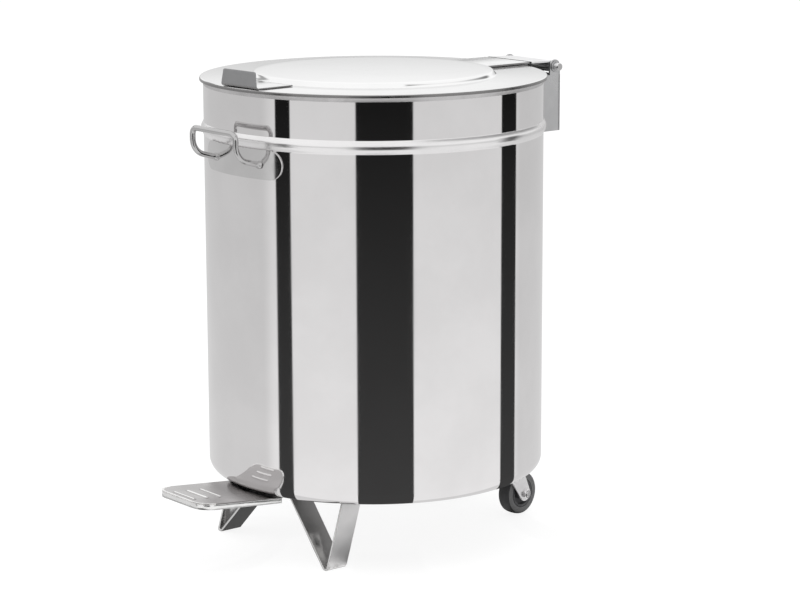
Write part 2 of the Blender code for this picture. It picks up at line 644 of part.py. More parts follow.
def build_pedal(shop, root):
    """Make the pedal plate, its lever and the pivot under the base."""
    pivot = shop.empty("pedal_pivot", root, (0, PIVOT_Y, PIVOT_Z), (-LEVER_TILT, 0, 0))
    plate = shop.prism("pedal_plate", [pedal_outline(0)], PEDAL_EDGE, pivot, "polished_steel",
                       (0, 0, PEDAL_TOP - PEDAL_EDGE / 2))
    hollow = shop.prism("pedal_hollow", [pedal_outline(PEDAL_SHEET)], PEDAL_EDGE, pivot, None,
                        (0, 0, PEDAL_TOP - PEDAL_SHEET - PEDAL_EDGE / 2))
    half = PEDAL_RIB_LENGTH / 2 - PEDAL_RIB_RADIUS
    rib_line = arc((0, half), PEDAL_RIB_RADIUS, math.pi / 2, 0, COARSE_STEP)
    rib_line += arc((0, -half), PEDAL_RIB_RADIUS, 0, -math.pi / 2, COARSE_STEP)
    for index in range(PEDAL_RIBS):
        rib_y = -PEDAL_TIP + PEDAL_RIB_START + PEDAL_RIB_PITCH * index
        rib_z = PEDAL_TOP + PEDAL_RIB_PROUD - PEDAL_RIB_RADIUS
        rib = shop.turned(f"pedal_rib_{index}", rib_line, False, RIB_STEPS, pivot, None, (0, rib_y, rib_z),
                          ACROSS_TURN)
        combine(plate, rib, 'UNION')
    combine(plate, hollow)

    lever_back = (ROD_Y - PIVOT_Y) / math.cos(LEVER_TILT) + LEVER_PAST_ROD
    lever_front = -PEDAL_TIP + PEDAL_LENGTH - LEVER_UNDER_PLATE
    half = LEVER_WIDTH / 2
    outline = arc((0, lever_back - half), half, 0, math.pi)
    outline += arc((0, lever_front + half), half, math.pi, math.tau)
    lever_z = LEVER_TOP - LEVER_THICKNESS / 2
    shop.flat("pedal_lever", [outline], LEVER_THICKNESS, pivot, "satin_steel", (0, 0, lever_z))
    shop.tube("pivot_sleeve", SLEEVE_RADIUS, PIVOT_PIN_RADIUS + RUN_GAP, PIVOT_SLEEVE_LENGTH, pivot,
              "satin_steel", (0, 0, 0), ACROSS_TURN)

    inside = PIVOT_SLEEVE_LENGTH / 2 + SIDE_GAP
    outside = inside + PIVOT_BRACKET_SHEET
    top_z = BASE_Z - SEAT_GAP
    low_z = PIVOT_Z - PIVOT_EAR_RADIUS - CUT_MARGIN
    web_z = top_z - PIVOT_BRACKET_SHEET
    channel = [(-outside, top_z), (outside, top_z), (outside, low_z), (inside, low_z), (inside, web_z)]
    channel += [(-inside, web_z), (-inside, low_z), (-outside, low_z)]
    bracket = shop.prism("pivot_bracket", [channel], PIVOT_BRACKET_LENGTH, root, "satin_steel", (0, PIVOT_Y, 0),
                         FRONT_TURN)
    reach = PIVOT_BRACKET_LENGTH / 2 + CUT_MARGIN
    skirt_z = top_z - PIVOT_BRACKET_SKIRT
    ear = (PIVOT_Y, PIVOT_Z)
    right_corner = (PIVOT_Y + PIVOT_BRACKET_LENGTH / 2, skirt_z)
    left_corner = (PIVOT_Y - PIVOT_BRACKET_LENGTH / 2, skirt_z)
    ear_start = outer_tangent(ear, PIVOT_EAR_RADIUS, left_corner, 1)
    ear_end = outer_tangent(ear, PIVOT_EAR_RADIUS, right_corner, -1)
    side = [(PIVOT_Y + reach, top_z + CUT_MARGIN), (PIVOT_Y - reach, top_z + CUT_MARGIN)]
    side += [(PIVOT_Y - reach, skirt_z), left_corner]
    side += arc(ear, PIVOT_EAR_RADIUS, ear_start, ear_end + math.tau)
    side += [right_corner, (PIVOT_Y + reach, skirt_z)]
    span = 2 * (outside + CUT_MARGIN)
    hull = shop.prism("pivot_bracket_side", [side], span, root, None, (0, 0, 0), SIDE_TURN)
    combine(bracket, hull, 'INTERSECT')
    bore = shop.bar("pivot_bracket_bore", PIVOT_PIN_RADIUS + RUN_GAP, span, root, None, (0, *ear), ACROSS_TURN)
    combine(bracket, bore)

    pin_half = outside + SEAT_GAP + RING_SHEET + PIVOT_PIN_PAST_RING
    shop.bar("pivot_pin", PIVOT_PIN_RADIUS, 2 * pin_half, root, "polished_steel", (0, *ear), ACROSS_TURN)
    for side_name, sign in (("left", -1), ("right", 1)):
        ring_x = sign * (outside + SEAT_GAP + RING_SHEET / 2)
        shop.tube(f"pivot_ring_{side_name}", PIVOT_PIN_RADIUS + RING_FLANGE, PIVOT_PIN_RADIUS + SEAT_GAP,
                  RING_SHEET, root, "dark_steel", (ring_x, *ear), ACROSS_TURN)


def build_feet(shop, root):
    """Bend the two front feet, each a strip folded to a V under the base."""
    tip_radius = DRUM_RADIUS - FOOT_EDGE_INSET
    tip_x = tip_radius * math.sin(FOOT_ANGLE)
    tip_y = -tip_radius * math.cos(FOOT_ANGLE)
    low_z = FOOT_SHEET / 2
    top_z = BASE_Z - SEAT_GAP - FOOT_SHEET / 2
    outer_x = tip_x + FOOT_FLAT / 2
    inner_x = tip_x - FOOT_FLAT / 2
    outer_y = tip_y + FOOT_OUTER_REAR_LEAN * (top_z - low_z)
    inner_y = tip_y + FOOT_INNER_REAR_LEAN * (top_z - low_z)
    line = [(outer_x - FOOT_OUTER_FLANGE, outer_y, top_z), (outer_x, outer_y, top_z)]
    line += [(outer_x, tip_y, low_z), (inner_x, tip_y, low_z)]
    line += [(FOOT_INNER_TOP, inner_y, top_z), (FOOT_INNER_TOP - FOOT_INNER_FLANGE, inner_y, top_z)]
    for side_name, sign in (("left", -1), ("right", 1)):
        path = [(sign * across, depth, height) for across, depth, height in line]
        shop.bent_strip(f"front_foot_{side_name}", path, [FOOT_STRIP_WIDTH] * len(path), (0, 1, 0),
                        FOOT_SHEET, root, "polished_steel")


def fork_side():
    """Return the fork's side outline: a wide crown that leans back to the axle's round end."""
    axle = (CASTER_TRAIL, WHEEL_RADIUS)
    half = FORK_TOP_LENGTH / 2
    front = (-half, FORK_TOP_Z - FORK_SHOULDER)
    back = (half, FORK_TOP_Z - FORK_SHOULDER)
    start = outer_tangent(axle, FORK_END_RADIUS, front, 1)
    end = outer_tangent(axle, FORK_END_RADIUS, back, -1)
    if end < start:
        end += math.tau
    high = FORK_TOP_Z + CUT_MARGIN
    return [(half, high), (-half, high), front] + arc(axle, FORK_END_RADIUS, start, end) + [back]


def tyre_profile():
    """Return the tyre's section: flat sides and a crowned tread."""
    half = WHEEL_WIDTH / 2
    seat = WHEEL_RADIUS - TYRE_DEPTH
    sides = [1 - 2 * share for share in shares(TREAD_STEPS)]
    tread = [(WHEEL_RADIUS - TYRE_CROWN * side ** 2, TYRE_TREAD_WIDTH / 2 * side) for side in sides]
    shoulder = WHEEL_RADIUS - TYRE_SHOULDER
    return [(seat, half), (shoulder, half)] + tread + [(shoulder, -half), (seat, -half)]


def hub_profile():
    """Return the hub's section: a long boss, a thin web and the rim that carries the tyre."""
    bore = AXLE_RADIUS + RUN_GAP
    boss = WHEEL_WIDTH / 2 + FORK_SIDE_GAP - SIDE_GAP
    rim = WHEEL_RADIUS - TYRE_DEPTH - SEAT_GAP
    rim_inside = rim - HUB_RIM_SHEET
    half = WHEEL_WIDTH / 2
    web = HUB_WEB / 2
    top = [(bore, boss), (HUB_BOSS_RADIUS, boss), (HUB_BOSS_RADIUS, web)]
    top += [(rim_inside, web), (rim_inside, half), (rim, half)]
    return top + [(radius, -height) for radius, height in reversed(top)]


def build_casters(shop, root):
    """Make both swivel casters: plate and king pin under the base, fork, axle and wheel below."""
    swivel_radius = BASE_FLAT_RADIUS - CASTER_PLATE_RADIUS - SIDE_GAP
    inside = WHEEL_WIDTH / 2 + FORK_SIDE_GAP
    outside = inside + FORK_SHEET
    for side_name, sign in (("left", -1), ("right", 1)):
        place_x = sign * swivel_radius * math.sin(CASTER_ANGLE)
        place_y = -swivel_radius * math.cos(CASTER_ANGLE)
        swivel = shop.empty(f"caster_swivel_{side_name}", root, (place_x, place_y, 0), (0, 0, CASTER_TURN))
        spin = shop.empty(f"wheel_spin_{side_name}", swivel, (0, CASTER_TRAIL, WHEEL_RADIUS))

        shop.bar(f"caster_plate_{side_name}", CASTER_PLATE_RADIUS, CASTER_PLATE_SHEET, swivel, "zinc_steel",
                 (0, 0, PLATE_Z + CASTER_PLATE_SHEET / 2))
        head_z = FORK_TOP_Z - FORK_SHEET - RUN_GAP - KING_PIN_HEAD_HEIGHT
        stem_top = PLATE_Z - SEAT_GAP - head_z
        head_top = KING_PIN_HEAD_HEIGHT
        rivet = [(0, stem_top), (KING_PIN_RADIUS, stem_top), (KING_PIN_RADIUS, head_top)]
        rivet += [(KING_PIN_HEAD_RADIUS, head_top), (KING_PIN_FACE_RADIUS, 0), (0, 0)]
        shop.turned(f"king_pin_{side_name}", rivet, False, ROUND_STEPS, swivel, "zinc_steel", (0, 0, head_z))

        race_bore = KING_PIN_RADIUS + RUN_GAP
        groove_z = CASTER_RACE_HEIGHT / 2
        groove_top = (CASTER_RACE_RADIUS, groove_z + RACE_GROOVE_HEIGHT / 2)
        groove_foot = (CASTER_RACE_RADIUS, groove_z - RACE_GROOVE_HEIGHT / 2)
        race = [(CASTER_RACE_RADIUS, CASTER_RACE_HEIGHT), groove_top]
        race += [(CASTER_RACE_RADIUS - RACE_GROOVE_DEPTH, groove_z), groove_foot]
        race += [(CASTER_RACE_RADIUS, 0), (race_bore, 0), (race_bore, CASTER_RACE_HEIGHT)]
        shop.turned(f"swivel_race_{side_name}", race, True, ROUND_STEPS, swivel, "zinc_steel", (0, 0, RACE_Z))

        low_z = WHEEL_RADIUS - FORK_END_RADIUS - CUT_MARGIN
        crown_z = FORK_TOP_Z - FORK_SHEET
        channel = [(-outside, FORK_TOP_Z), (outside, FORK_TOP_Z), (outside, low_z), (inside, low_z)]
        channel += [(inside, crown_z), (-inside, crown_z), (-inside, low_z), (-outside, low_z)]
        fork_length = 2 * (CASTER_TRAIL + FORK_TOP_LENGTH)
        fork = shop.prism(f"caster_fork_{side_name}", [channel], fork_length, swivel, "zinc_steel",
                          (0, 0, 0), FRONT_TURN)
        span = 2 * (outside + CUT_MARGIN)
        hull = shop.prism(f"fork_side_{side_name}", [fork_side()], span, swivel, None, (0, 0, 0), SIDE_TURN)
        combine(fork, hull, 'INTERSECT')
        axle_place = (0, CASTER_TRAIL, WHEEL_RADIUS)
        axle_bore = shop.bar(f"fork_axle_bore_{side_name}", AXLE_RADIUS + RUN_GAP, span, swivel, None,
                             axle_place, ACROSS_TURN)
        combine(fork, axle_bore)
        king_bore = shop.bar(f"fork_king_bore_{side_name}", KING_PIN_RADIUS + RUN_GAP, 2 * CUT_MARGIN, swivel,
                             None, (0, 0, crown_z))
        combine(fork, king_bore)

        axle_half = outside + SEAT_GAP + AXLE_NUT_HEIGHT + AXLE_PAST_NUT
        shop.bar(f"axle_{side_name}", AXLE_RADIUS, 2 * axle_half, swivel, "zinc_steel", axle_place, ACROSS_TURN)
        nut = [circle((0, 0), AXLE_NUT_RADIUS, AXLE_NUT_SIDES), circle((0, 0), AXLE_RADIUS + SEAT_GAP)]
        for nut_name, nut_sign in (("inner", -sign), ("outer", sign)):
            nut_x = nut_sign * (outside + SEAT_GAP + AXLE_NUT_HEIGHT / 2)
            shop.flat(f"axle_nut_{nut_name}_{side_name}", nut, AXLE_NUT_HEIGHT, swivel, "zinc_steel",
                      (nut_x, CASTER_TRAIL, WHEEL_RADIUS), ACROSS_TURN)
        shop.turned(f"wheel_hub_{side_name}", hub_profile(), True, WHEEL_STEPS, spin, "hub_plastic",
                    turn=ACROSS_TURN)
        shop.turned(f"tyre_{side_name}", tyre_profile(), True, WHEEL_STEPS, spin, "grey_rubber",
                    turn=ACROSS_TURN)


def build_handle(shop, root):
    """Bend the wire handle and the plate that it is welded to."""
    root_radius = DRUM_RADIUS + SEAT_GAP
    outside = root_radius + HANDLE_PLATE_SHEET
    plate_z = BEAD_Z - BEAD_HEIGHT / 2 - SEAT_GAP - HANDLE_PLATE_HEIGHT / 2
    low_z = plate_z - HANDLE_PLATE_HEIGHT / 2 - CUT_MARGIN
    high_z = plate_z + HANDLE_PLATE_HEIGHT / 2 + CUT_MARGIN
    band = [(outside, high_z), (outside, low_z), (root_radius, low_z), (root_radius, high_z)]
    plate = shop.turned("handle_plate", band, True, DRUM_STEPS, root, "polished_steel")
    end_radius = HANDLE_PLATE_HEIGHT / 2
    outline = slot((0, plate_z), HANDLE_PLATE_LENGTH / 2 - end_radius, end_radius)
    hull = shop.prism("handle_plate_side", [outline], DRUM_RADIUS, root, None, (0, -DRUM_RADIUS, 0), FRONT_TURN)
    combine(plate, hull, 'INTERSECT')

    root_x = HANDLE_ROOT_SPAN / 2
    root_z = BEAD_Z - HANDLE_ROOT_BELOW_BEAD
    grip_y = DRUM_RADIUS + HANDLE_STANDOFF
    grip_z = root_z + HANDLE_RISE
    buried_y = math.sqrt(outside ** 2 - root_x ** 2) - CUT_MARGIN
    arm_reach = grip_y - HANDLE_ARM_RADIUS * (1 - math.sin(HANDLE_ARM_SLOPE))
    arm_z = root_z + (arm_reach - buried_y - CUT_MARGIN) * math.tan(HANDLE_ARM_SLOPE)
    bend = (grip_y - HANDLE_ARM_RADIUS, arm_z + HANDLE_ARM_RADIUS * math.cos(HANDLE_ARM_SLOPE))
    buried_z = root_z - CUT_MARGIN * math.tan(HANDLE_ARM_SLOPE)
    arm = [(buried_y, buried_z)] + arc(bend, HANDLE_ARM_RADIUS, HANDLE_ARM_SLOPE - math.pi / 2, 0)
    corner = arc((root_x - HANDLE_GRIP_BEND, grip_z - HANDLE_GRIP_BEND), HANDLE_GRIP_BEND, 0, math.pi / 2)
    half = [(root_x, -along, height) for along, height in arm]
    half += [(across, -grip_y, height) for across, height in corner]
    points = half + [(-across, along, height) for across, along, height in reversed(half)]
    bent = shop.wire("handle_wire", points, HANDLE_WIRE_RADIUS, root, "polished_steel")
    wire = shop.as_mesh(bent, "polished_steel")
    wall = shop.bar("handle_wire_trim", outside + SEAT_GAP, high_z - low_z, root, None, (0, 0, plate_z),
                    steps=DRUM_STEPS)
    combine(wire, wall)


def main():
    """Build the whole bin round the drum's axis."""
    clear_scene()
    shop = Workshop()
    root = shop.empty("drum_axis", None, (0, AXIS_Y, 0))
    hinge = shop.empty("lid_hinge", root, (0, HINGE_Y, HINGE_Z))
    build_drum(shop, root)
    build_lid(shop, hinge)
    build_hinge(shop, root, hinge)
    build_push_rod(shop, root)
    build_pedal(shop, root)
    build_feet(shop, root)
    build_casters(shop, root)
    build_handle(shop, root)


main()
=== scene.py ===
"""Looks of the stainless-steel pedal bin: fine meshes over the CAD frame, finishes, studio and camera.

Units are metres in the frame of the CAD model: +Z is up, the front faces -Y and the hinge is at +Y.
"""

import json
import logging
import math
from collections.abc import Callable
from dataclasses import dataclass
from enum import Enum
from functools import partial

import bpy
import numpy as np
from bpy.types import Material, Mesh, Node, NodeSocket as Socket, NodeTree, Object
from mathutils import Matrix, Vector


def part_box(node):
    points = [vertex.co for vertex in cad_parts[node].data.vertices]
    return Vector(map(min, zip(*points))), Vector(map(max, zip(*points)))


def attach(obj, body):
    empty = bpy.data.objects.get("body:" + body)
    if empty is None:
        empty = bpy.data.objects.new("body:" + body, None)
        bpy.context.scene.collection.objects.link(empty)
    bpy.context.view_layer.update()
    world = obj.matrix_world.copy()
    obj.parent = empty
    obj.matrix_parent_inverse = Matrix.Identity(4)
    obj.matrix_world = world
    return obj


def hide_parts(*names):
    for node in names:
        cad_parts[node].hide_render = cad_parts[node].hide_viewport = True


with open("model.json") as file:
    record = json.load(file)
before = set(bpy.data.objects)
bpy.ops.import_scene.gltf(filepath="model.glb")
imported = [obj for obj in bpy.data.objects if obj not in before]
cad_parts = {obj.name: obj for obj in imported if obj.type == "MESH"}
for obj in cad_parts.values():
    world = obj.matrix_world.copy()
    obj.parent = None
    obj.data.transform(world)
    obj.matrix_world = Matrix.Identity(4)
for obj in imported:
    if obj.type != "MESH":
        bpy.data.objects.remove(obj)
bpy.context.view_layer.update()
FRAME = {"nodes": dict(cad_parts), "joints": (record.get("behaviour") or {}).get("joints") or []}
LOG = logging.getLogger("pedal_bin")
Array = np.ndarray
Pair = tuple[float, float]
Triple = tuple[float, float, float]
Picker = Callable[[Array, Array], Array]
ACROSS = Matrix.Rotation(math.pi / 2, 4, 'Y')
# Points closer than SAME_POINT are one; pieces that are seated on each other are SEAT_GAP apart.
SAME_POINT = 1e-7
SEAT_GAP = 0.0003


class Slot(Enum):
    """The record's material slots."""

    POLISHED = "polished_steel"
    SATIN = "satin_steel"
    ZINC = "zinc_steel"
    DARK = "dark_steel"
    PLASTIC = "hub_plastic"
    RUBBER = "grey_rubber"


class Side(Enum):
    """The bin's two sides, as the sign of X."""

    LEFT = -1
    RIGHT = 1

    @property
    def word(self) -> str:
        """The side's word in node names."""
        return self.name.lower()


@dataclass
class Surface:
    """A surface as points and four-cornered faces.

    Corners that fall on one point are welded when the surface becomes a mesh, so poles and seams close.
    """

    points: Array
    faces: Array

    def placed(self, matrix: Matrix) -> "Surface":
        """Return the surface moved by a 4 x 4 matrix."""
        turn = np.array(matrix)
        return Surface(self.points @ turn[:3, :3].T + turn[:3, 3], self.faces)

    def joined(self, other: "Surface") -> "Surface":
        """Return one surface that holds this one and another."""
        return Surface(np.vstack([self.points, other.points]),
                       np.vstack([self.faces, other.faces + len(self.points)]))

    def mesh(self, name: str) -> Mesh:
        """Merge equal points, drop collapsed faces, point the faces outwards and make a mesh.

        Args:
            name: The mesh's name.

        Returns:
            The mesh.
        """
        keys = np.round(self.points / SAME_POINT).astype(np.int64)
        first, index = np.unique(keys, axis=0, return_index=True, return_inverse=True)[1:]
        points = self.points[first]
        faces = index.reshape(-1)[self.faces]
        keep = faces != np.roll(faces, -1, axis=1)
        corners = keep.sum(axis=1)
        quads = faces[corners == 4]
        triangles = faces[corners == 3][keep[corners == 3]].reshape(-1, 3)
        halves = np.vstack([quads[:, [0, 1, 2]], quads[:, [0, 2, 3]], triangles])
        a, b, c = (points[halves[:, corner]] for corner in range(3))
        if np.einsum("ij,ij->i", a, np.cross(b, c)).sum() < 0:
            quads, triangles = quads[:, ::-1], triangles[:, ::-1]
        mesh = bpy.data.meshes.new(name)
        mesh.from_pydata(points.tolist(), [], triangles.tolist() + quads.tolist())
        return mesh


def grid(points: Array, wrap_rows: bool = False, wrap_columns: bool = False) -> Surface:
    """Join a rows x columns grid of points by quads.

    Args:
        points: Array of shape (rows, columns, 3).
        wrap_rows: Whether the last row joins the first.
        wrap_columns: Whether the last column joins the first.

    Returns:
        The surface.
    """
    rows, columns = points.shape[:2]
    row = np.arange(rows if wrap_rows else rows - 1)[:, None]
    column = np.arange(columns if wrap_columns else columns - 1)[None, :]
    below = (row + 1) % rows
    beside = (column + 1) % columns
    corners = np.broadcast_arrays(row * columns + column, below * columns + column,
                                  below * columns + beside, row * columns + beside)
    return Surface(points.reshape(-1, 3), np.stack(corners, axis=-1).reshape(-1, 4))


def lathe(profile: Array, steps: int = 48, closed: bool = False) -> Surface:
    """Turn a profile about Z: x = r cos a, y = r sin a, z = height, with a round the circle.

    Args:
        profile: Array of (radius, height).
        steps: Number of steps round the circle.
        closed: Whether the profile is a loop; an open one starts and ends on the axis.

    Returns:
        The turned surface.
    """
    angle = np.linspace(0, math.tau, steps, endpoint=False)[:, None]
    radius, height = profile[None, :, 0], profile[None, :, 1]
    points = np.broadcast_arrays(radius * np.cos(angle), radius * np.sin(angle), height)
    return grid(np.stack(points, axis=-1), wrap_rows=True, wrap_columns=closed)


def turned(radius: float, half_length: float, chamfer: float, bore: float = 0.0, steps: int = 40) -> Surface:
    """Turn a round pin, tube or ring with chamfered outer edges.

    Args:
        radius: Outer radius.
        half_length: Half its length.
        chamfer: Size of the chamfer.
        bore: Radius of the bore, or 0 for a solid pin.
        steps: Number of steps round the circle.

    Returns:
        The surface, along Z and centred.
    """
    end, side = half_length - chamfer, radius - chamfer
    profile = np.array([(bore, -half_length), (side, -half_length), (radius, -end), (radius, end), (side, half_length),
                        (bore, half_length)])
    return lathe(profile, steps, closed=bore > 0)


def slab(outer: Array, inner: Array) -> Surface:
    """Close the room between two grids of the same shape into one thick sheet.

    Args:
        outer: The sheet's outside.
        inner: Its inside.

    Returns:
        The closed surface.
    """
    ring = grid(np.concatenate([outer, inner[:, ::-1]], axis=1), wrap_columns=True)
    first = grid(np.stack([inner[0], outer[0]]))
    last = grid(np.stack([outer[-1], inner[-1]]))
    return ring.joined(first).joined(last)


def arc(centre: Pair, radius: float, start: float, end: float, count: int = 9) -> Array:
    """Return points (cx + r cos a, cy + r sin a) with a from start to end in degrees."""
    angle = np.radians(np.linspace(start, end, count))
    return np.stack([centre[0] + radius * np.cos(angle), centre[1] + radius * np.sin(angle)], axis=-1)


def unit(vectors: Array) -> Array:
    """Return vectors made one long."""
    return vectors / np.linalg.norm(vectors, axis=-1, keepdims=True)


def rounded(corners: Array, radius: Array | float, count: int = 9) -> Array:
    """Round the inner corners of an open path.

    Each corner gives way to an arc that touches both of its legs; its points turn from one tangent point to the
    other about the arc's centre, as a weighted sum of the two spokes.

    Args:
        corners: Array of shape (n, 2) or (n, 3).
        radius: One radius, or one for each inner corner.
        count: Points on each arc.

    Returns:
        The path with its ends kept.
    """
    bend = corners[1:-1]
    back, ahead = unit(corners[:-2] - bend), unit(corners[2:] - bend)
    half = np.arccos(np.clip((back * ahead).sum(axis=1), -1, 1))[:, None] / 2
    size = np.broadcast_to(np.asarray(radius, dtype=float).reshape(-1, 1), half.shape)
    centre = bend + unit(back + ahead) * size / np.sin(half)
    first = bend + back * size / np.tan(half) - centre
    last = bend + ahead * size / np.tan(half) - centre
    turn = (math.pi - 2 * half)[:, :, None]
    share = np.linspace(0, 1, count)[None, :, None]
    spokes = (np.sin((1 - share) * turn) * first[:, None] + np.sin(share * turn) * last[:, None]) / np.sin(turn)
    bends = (centre[:, None] + spokes).reshape(-1, corners.shape[1])
    return np.vstack([corners[:1], bends, corners[-1:]])


def along(path: Array) -> Array:
    """Return the unit tangents of a path by central differences."""
    return unit(np.gradient(path, axis=0))


def tube(path: Array, radius: Array, sides: int = 28) -> Surface:
    """Carry a circle along a path in space, and close its ends.

    Each ring is path + r (cos a u + sin a v), with u and v square to the tangent.

    Args:
        path: Array of points in space.
        radius: The radius at each point.
        sides: Number of sides.

    Returns:
        The tube.
    """
    tangent = along(path)
    never_along = np.array([0.23, 0.31, 0.92])
    across = unit(np.cross(tangent, never_along))
    upright = np.cross(tangent, across)
    angle = np.linspace(0, math.tau, sides, endpoint=False)[None, :, None]
    rings = path[:, None] + radius[:, None, None] * (np.cos(angle) * across[:, None] + np.sin(angle) * upright[:, None])
    ends = [np.repeat(path[end][None, None], sides, axis=1) for end in (0, -1)]
    return grid(np.concatenate([ends[0], rings, ends[1]]), wrap_columns=True)


def rounded_section(half_width: Array, half_height: Array, edge: float, count: int = 4) -> tuple[Array, Array]:
    """Return the two coordinates of rounded rectangles.

    Args:
        half_width: Half widths, one for each section.
        half_height: Half heights, one for each section.
        edge: Radius of the corners.
        count: Points on each corner.

    Returns:
        Across and upright coordinates, each of shape (sections, 4 * count).
    """
    angle = np.radians((np.linspace(0, 90, count)[None, :] + np.arange(4)[:, None] * 90).reshape(-1))
    sign_across = np.repeat([1, -1, -1, 1], count)
    sign_upright = np.repeat([1, 1, -1, -1], count)
    return (sign_across * (half_width[:, None] - edge) + edge * np.cos(angle),
            sign_upright * (half_height[:, None] - edge) + edge * np.sin(angle))


def strip(path: Array, half_width: Array | float, thickness: float, edge: float) -> Surface:
    """Carry a rounded rectangle along a path in a plane, as a bent strip of sheet with soft edges.

    A point is path + s across + t normal, where (s, t) runs round the section; both ends close through a
    smaller section.

    Args:
        path: Array of (along, up), the middle of the sheet.
        half_width: Half the strip's width, or one for each point of the path.
        thickness: The sheet's thickness.
        edge: Radius of its edges.

    Returns:
        The surface, with across on X, along on Y and up on Z.
    """
    tangent = along(path)
    normal = np.stack([-tangent[:, 1], tangent[:, 0]], axis=-1)
    width = np.broadcast_to(np.asarray(half_width, dtype=float).reshape(-1), (len(path),))
    inside = path.copy()
    inside[0] += tangent[0] * edge
    inside[-1] -= tangent[-1] * edge
    line = np.vstack([path[:1], path[:1], inside, path[-1:], path[-1:]])
    square = np.vstack([normal[:1], normal[:1], normal, normal[-1:], normal[-1:]])
    inset = np.concatenate([[edge], width[:1] - edge / 2, width, width[-1:] - edge / 2, [edge]])
    small = thickness / 2 - edge / 2
    height = np.concatenate([[edge, small], np.full(len(path), thickness / 2), [small, edge]])
    across, upright = rounded_section(inset, np.maximum(height, edge), edge)
    across[[0, -1]] = 0
    upright[[0, -1]] = 0
    points = np.stack(np.broadcast_arrays(across, line[:, None, 0] + upright * square[:, None, 0],
                                          line[:, None, 1] + upright * square[:, None, 1]), axis=-1)
    return grid(points, wrap_columns=True)


def shift(x: float, y: float, z: float) -> Matrix:
    """Return a move as a 4 x 4 matrix."""
    return Matrix.Translation((x, y, z))


def node_box(node: str) -> tuple[Array, Array]:
    """Return the low and the high corner of a CAD node."""
    low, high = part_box(node)
    return np.array(low), np.array(high)


def soften(item: Object, width: float, segments: int, angle: float) -> None:
    """Round an object's sharp edges by a bevel.

    Args:
        item: The object.
        width: Width of the bevel.
        segments: Its number of steps.
        angle: Edges with a larger angle, in degrees, are rounded.
    """
    bevel = item.modifiers.new("soften", 'BEVEL')
    bevel.width = width
    bevel.segments = segments
    bevel.limit_method = 'ANGLE'
    bevel.angle_limit = math.radians(angle)
    bevel.harden_normals = True


class NodeDesk:
    """Adds nodes to a node tree and links them.

    Each value that a method takes is a socket to link or a plain value to set.
    """

    def __init__(self, tree: NodeTree) -> None:
        """Work on a node tree."""
        self.tree = tree

    def add(self, kind: str, **settings: object) -> Node:
        """Add a node and set its properties.

        Args:
            kind: The node's type.
            settings: Its properties.

        Returns:
            The node.
        """
        node = self.tree.nodes.new(kind)
        for name, value in settings.items():
            setattr(node, name, value)
        return node

    def feed(self, socket: Socket, value: object) -> None:
        """Link an input to a socket, or set its plain value.

        Args:
            socket: The input.
            value: The socket or plain value.
        """
        if isinstance(value, Socket):
            self.tree.links.new(value, socket)
        else:
            socket.default_value = value

    def wire(self, kind: str, inputs: dict, output: str | int = 0, **settings: object) -> Socket:
        """Add a node and feed its inputs.

        Args:
            kind: The node's type.
            inputs: Values by the input's name or number.
            output: Name or number of the output to return.
            settings: The node's properties.

        Returns:
            The output.
        """
        node = self.add(kind, **settings)
        for key, value in inputs.items():
            self.feed(node.inputs[key], value)
        return node.outputs[output]

    def math(self, operation: str, *values: object) -> Socket:
        """Return the result of a Math node."""
        return self.wire("ShaderNodeMath", dict(enumerate(values)), operation=operation)

    def vector(self, operation: str, output: str, *values: object) -> Socket:
        """Return an output of a Vector Math node."""
        return self.wire("ShaderNodeVectorMath", dict(enumerate(values)), output, operation=operation)

    def spread(self, value: object, low: object, high: object, to_low: object = 0.0, to_high: object = 1.0,
               smooth: bool = False) -> Socket:
        """Map a value from one range to another, held at both ends."""
        ranges = {"Value": value, "From Min": low, "From Max": high, "To Min": to_low, "To Max": to_high}
        return self.wire("ShaderNodeMapRange", ranges, "Result",
                         interpolation_type='SMOOTHSTEP' if smooth else 'LINEAR')

    def mix(self, factor: object, first: object, second: object) -> Socket:
        """Mix two colours."""
        return self.wire("ShaderNodeMix", {0: factor, 6: first, 7: second}, 2, data_type='RGBA')

    def noise(self, place: Socket, scale: object, detail: float, roughness: float) -> Socket:
        """Return the value of a noise texture."""
        inputs = {"Vector": place, "Scale": scale, "Detail": detail, "Roughness": roughness}
        return self.wire("ShaderNodeTexNoise", inputs, "Fac")

    def bump(self, shader: Node, height: Socket, strength: float, distance: float) -> None:
        """Tip a shader's normals by a height."""
        inputs = {"Height": height, "Strength": strength, "Distance": distance}
        self.feed(shader.inputs["Normal"], self.wire("ShaderNodeBump", inputs, "Normal"))

    def group(self, tree: NodeTree, **values: object) -> dict[str, Socket]:
        """Add a node group.

        Args:
            tree: The group's tree.
            values: Its inputs.

        Returns:
            Its outputs by name.
        """
        node = self.add("ShaderNodeGroup", node_tree=tree)
        for name, value in values.items():
            node.inputs[name].default_value = value
        return {socket.name: socket for socket in node.outputs}


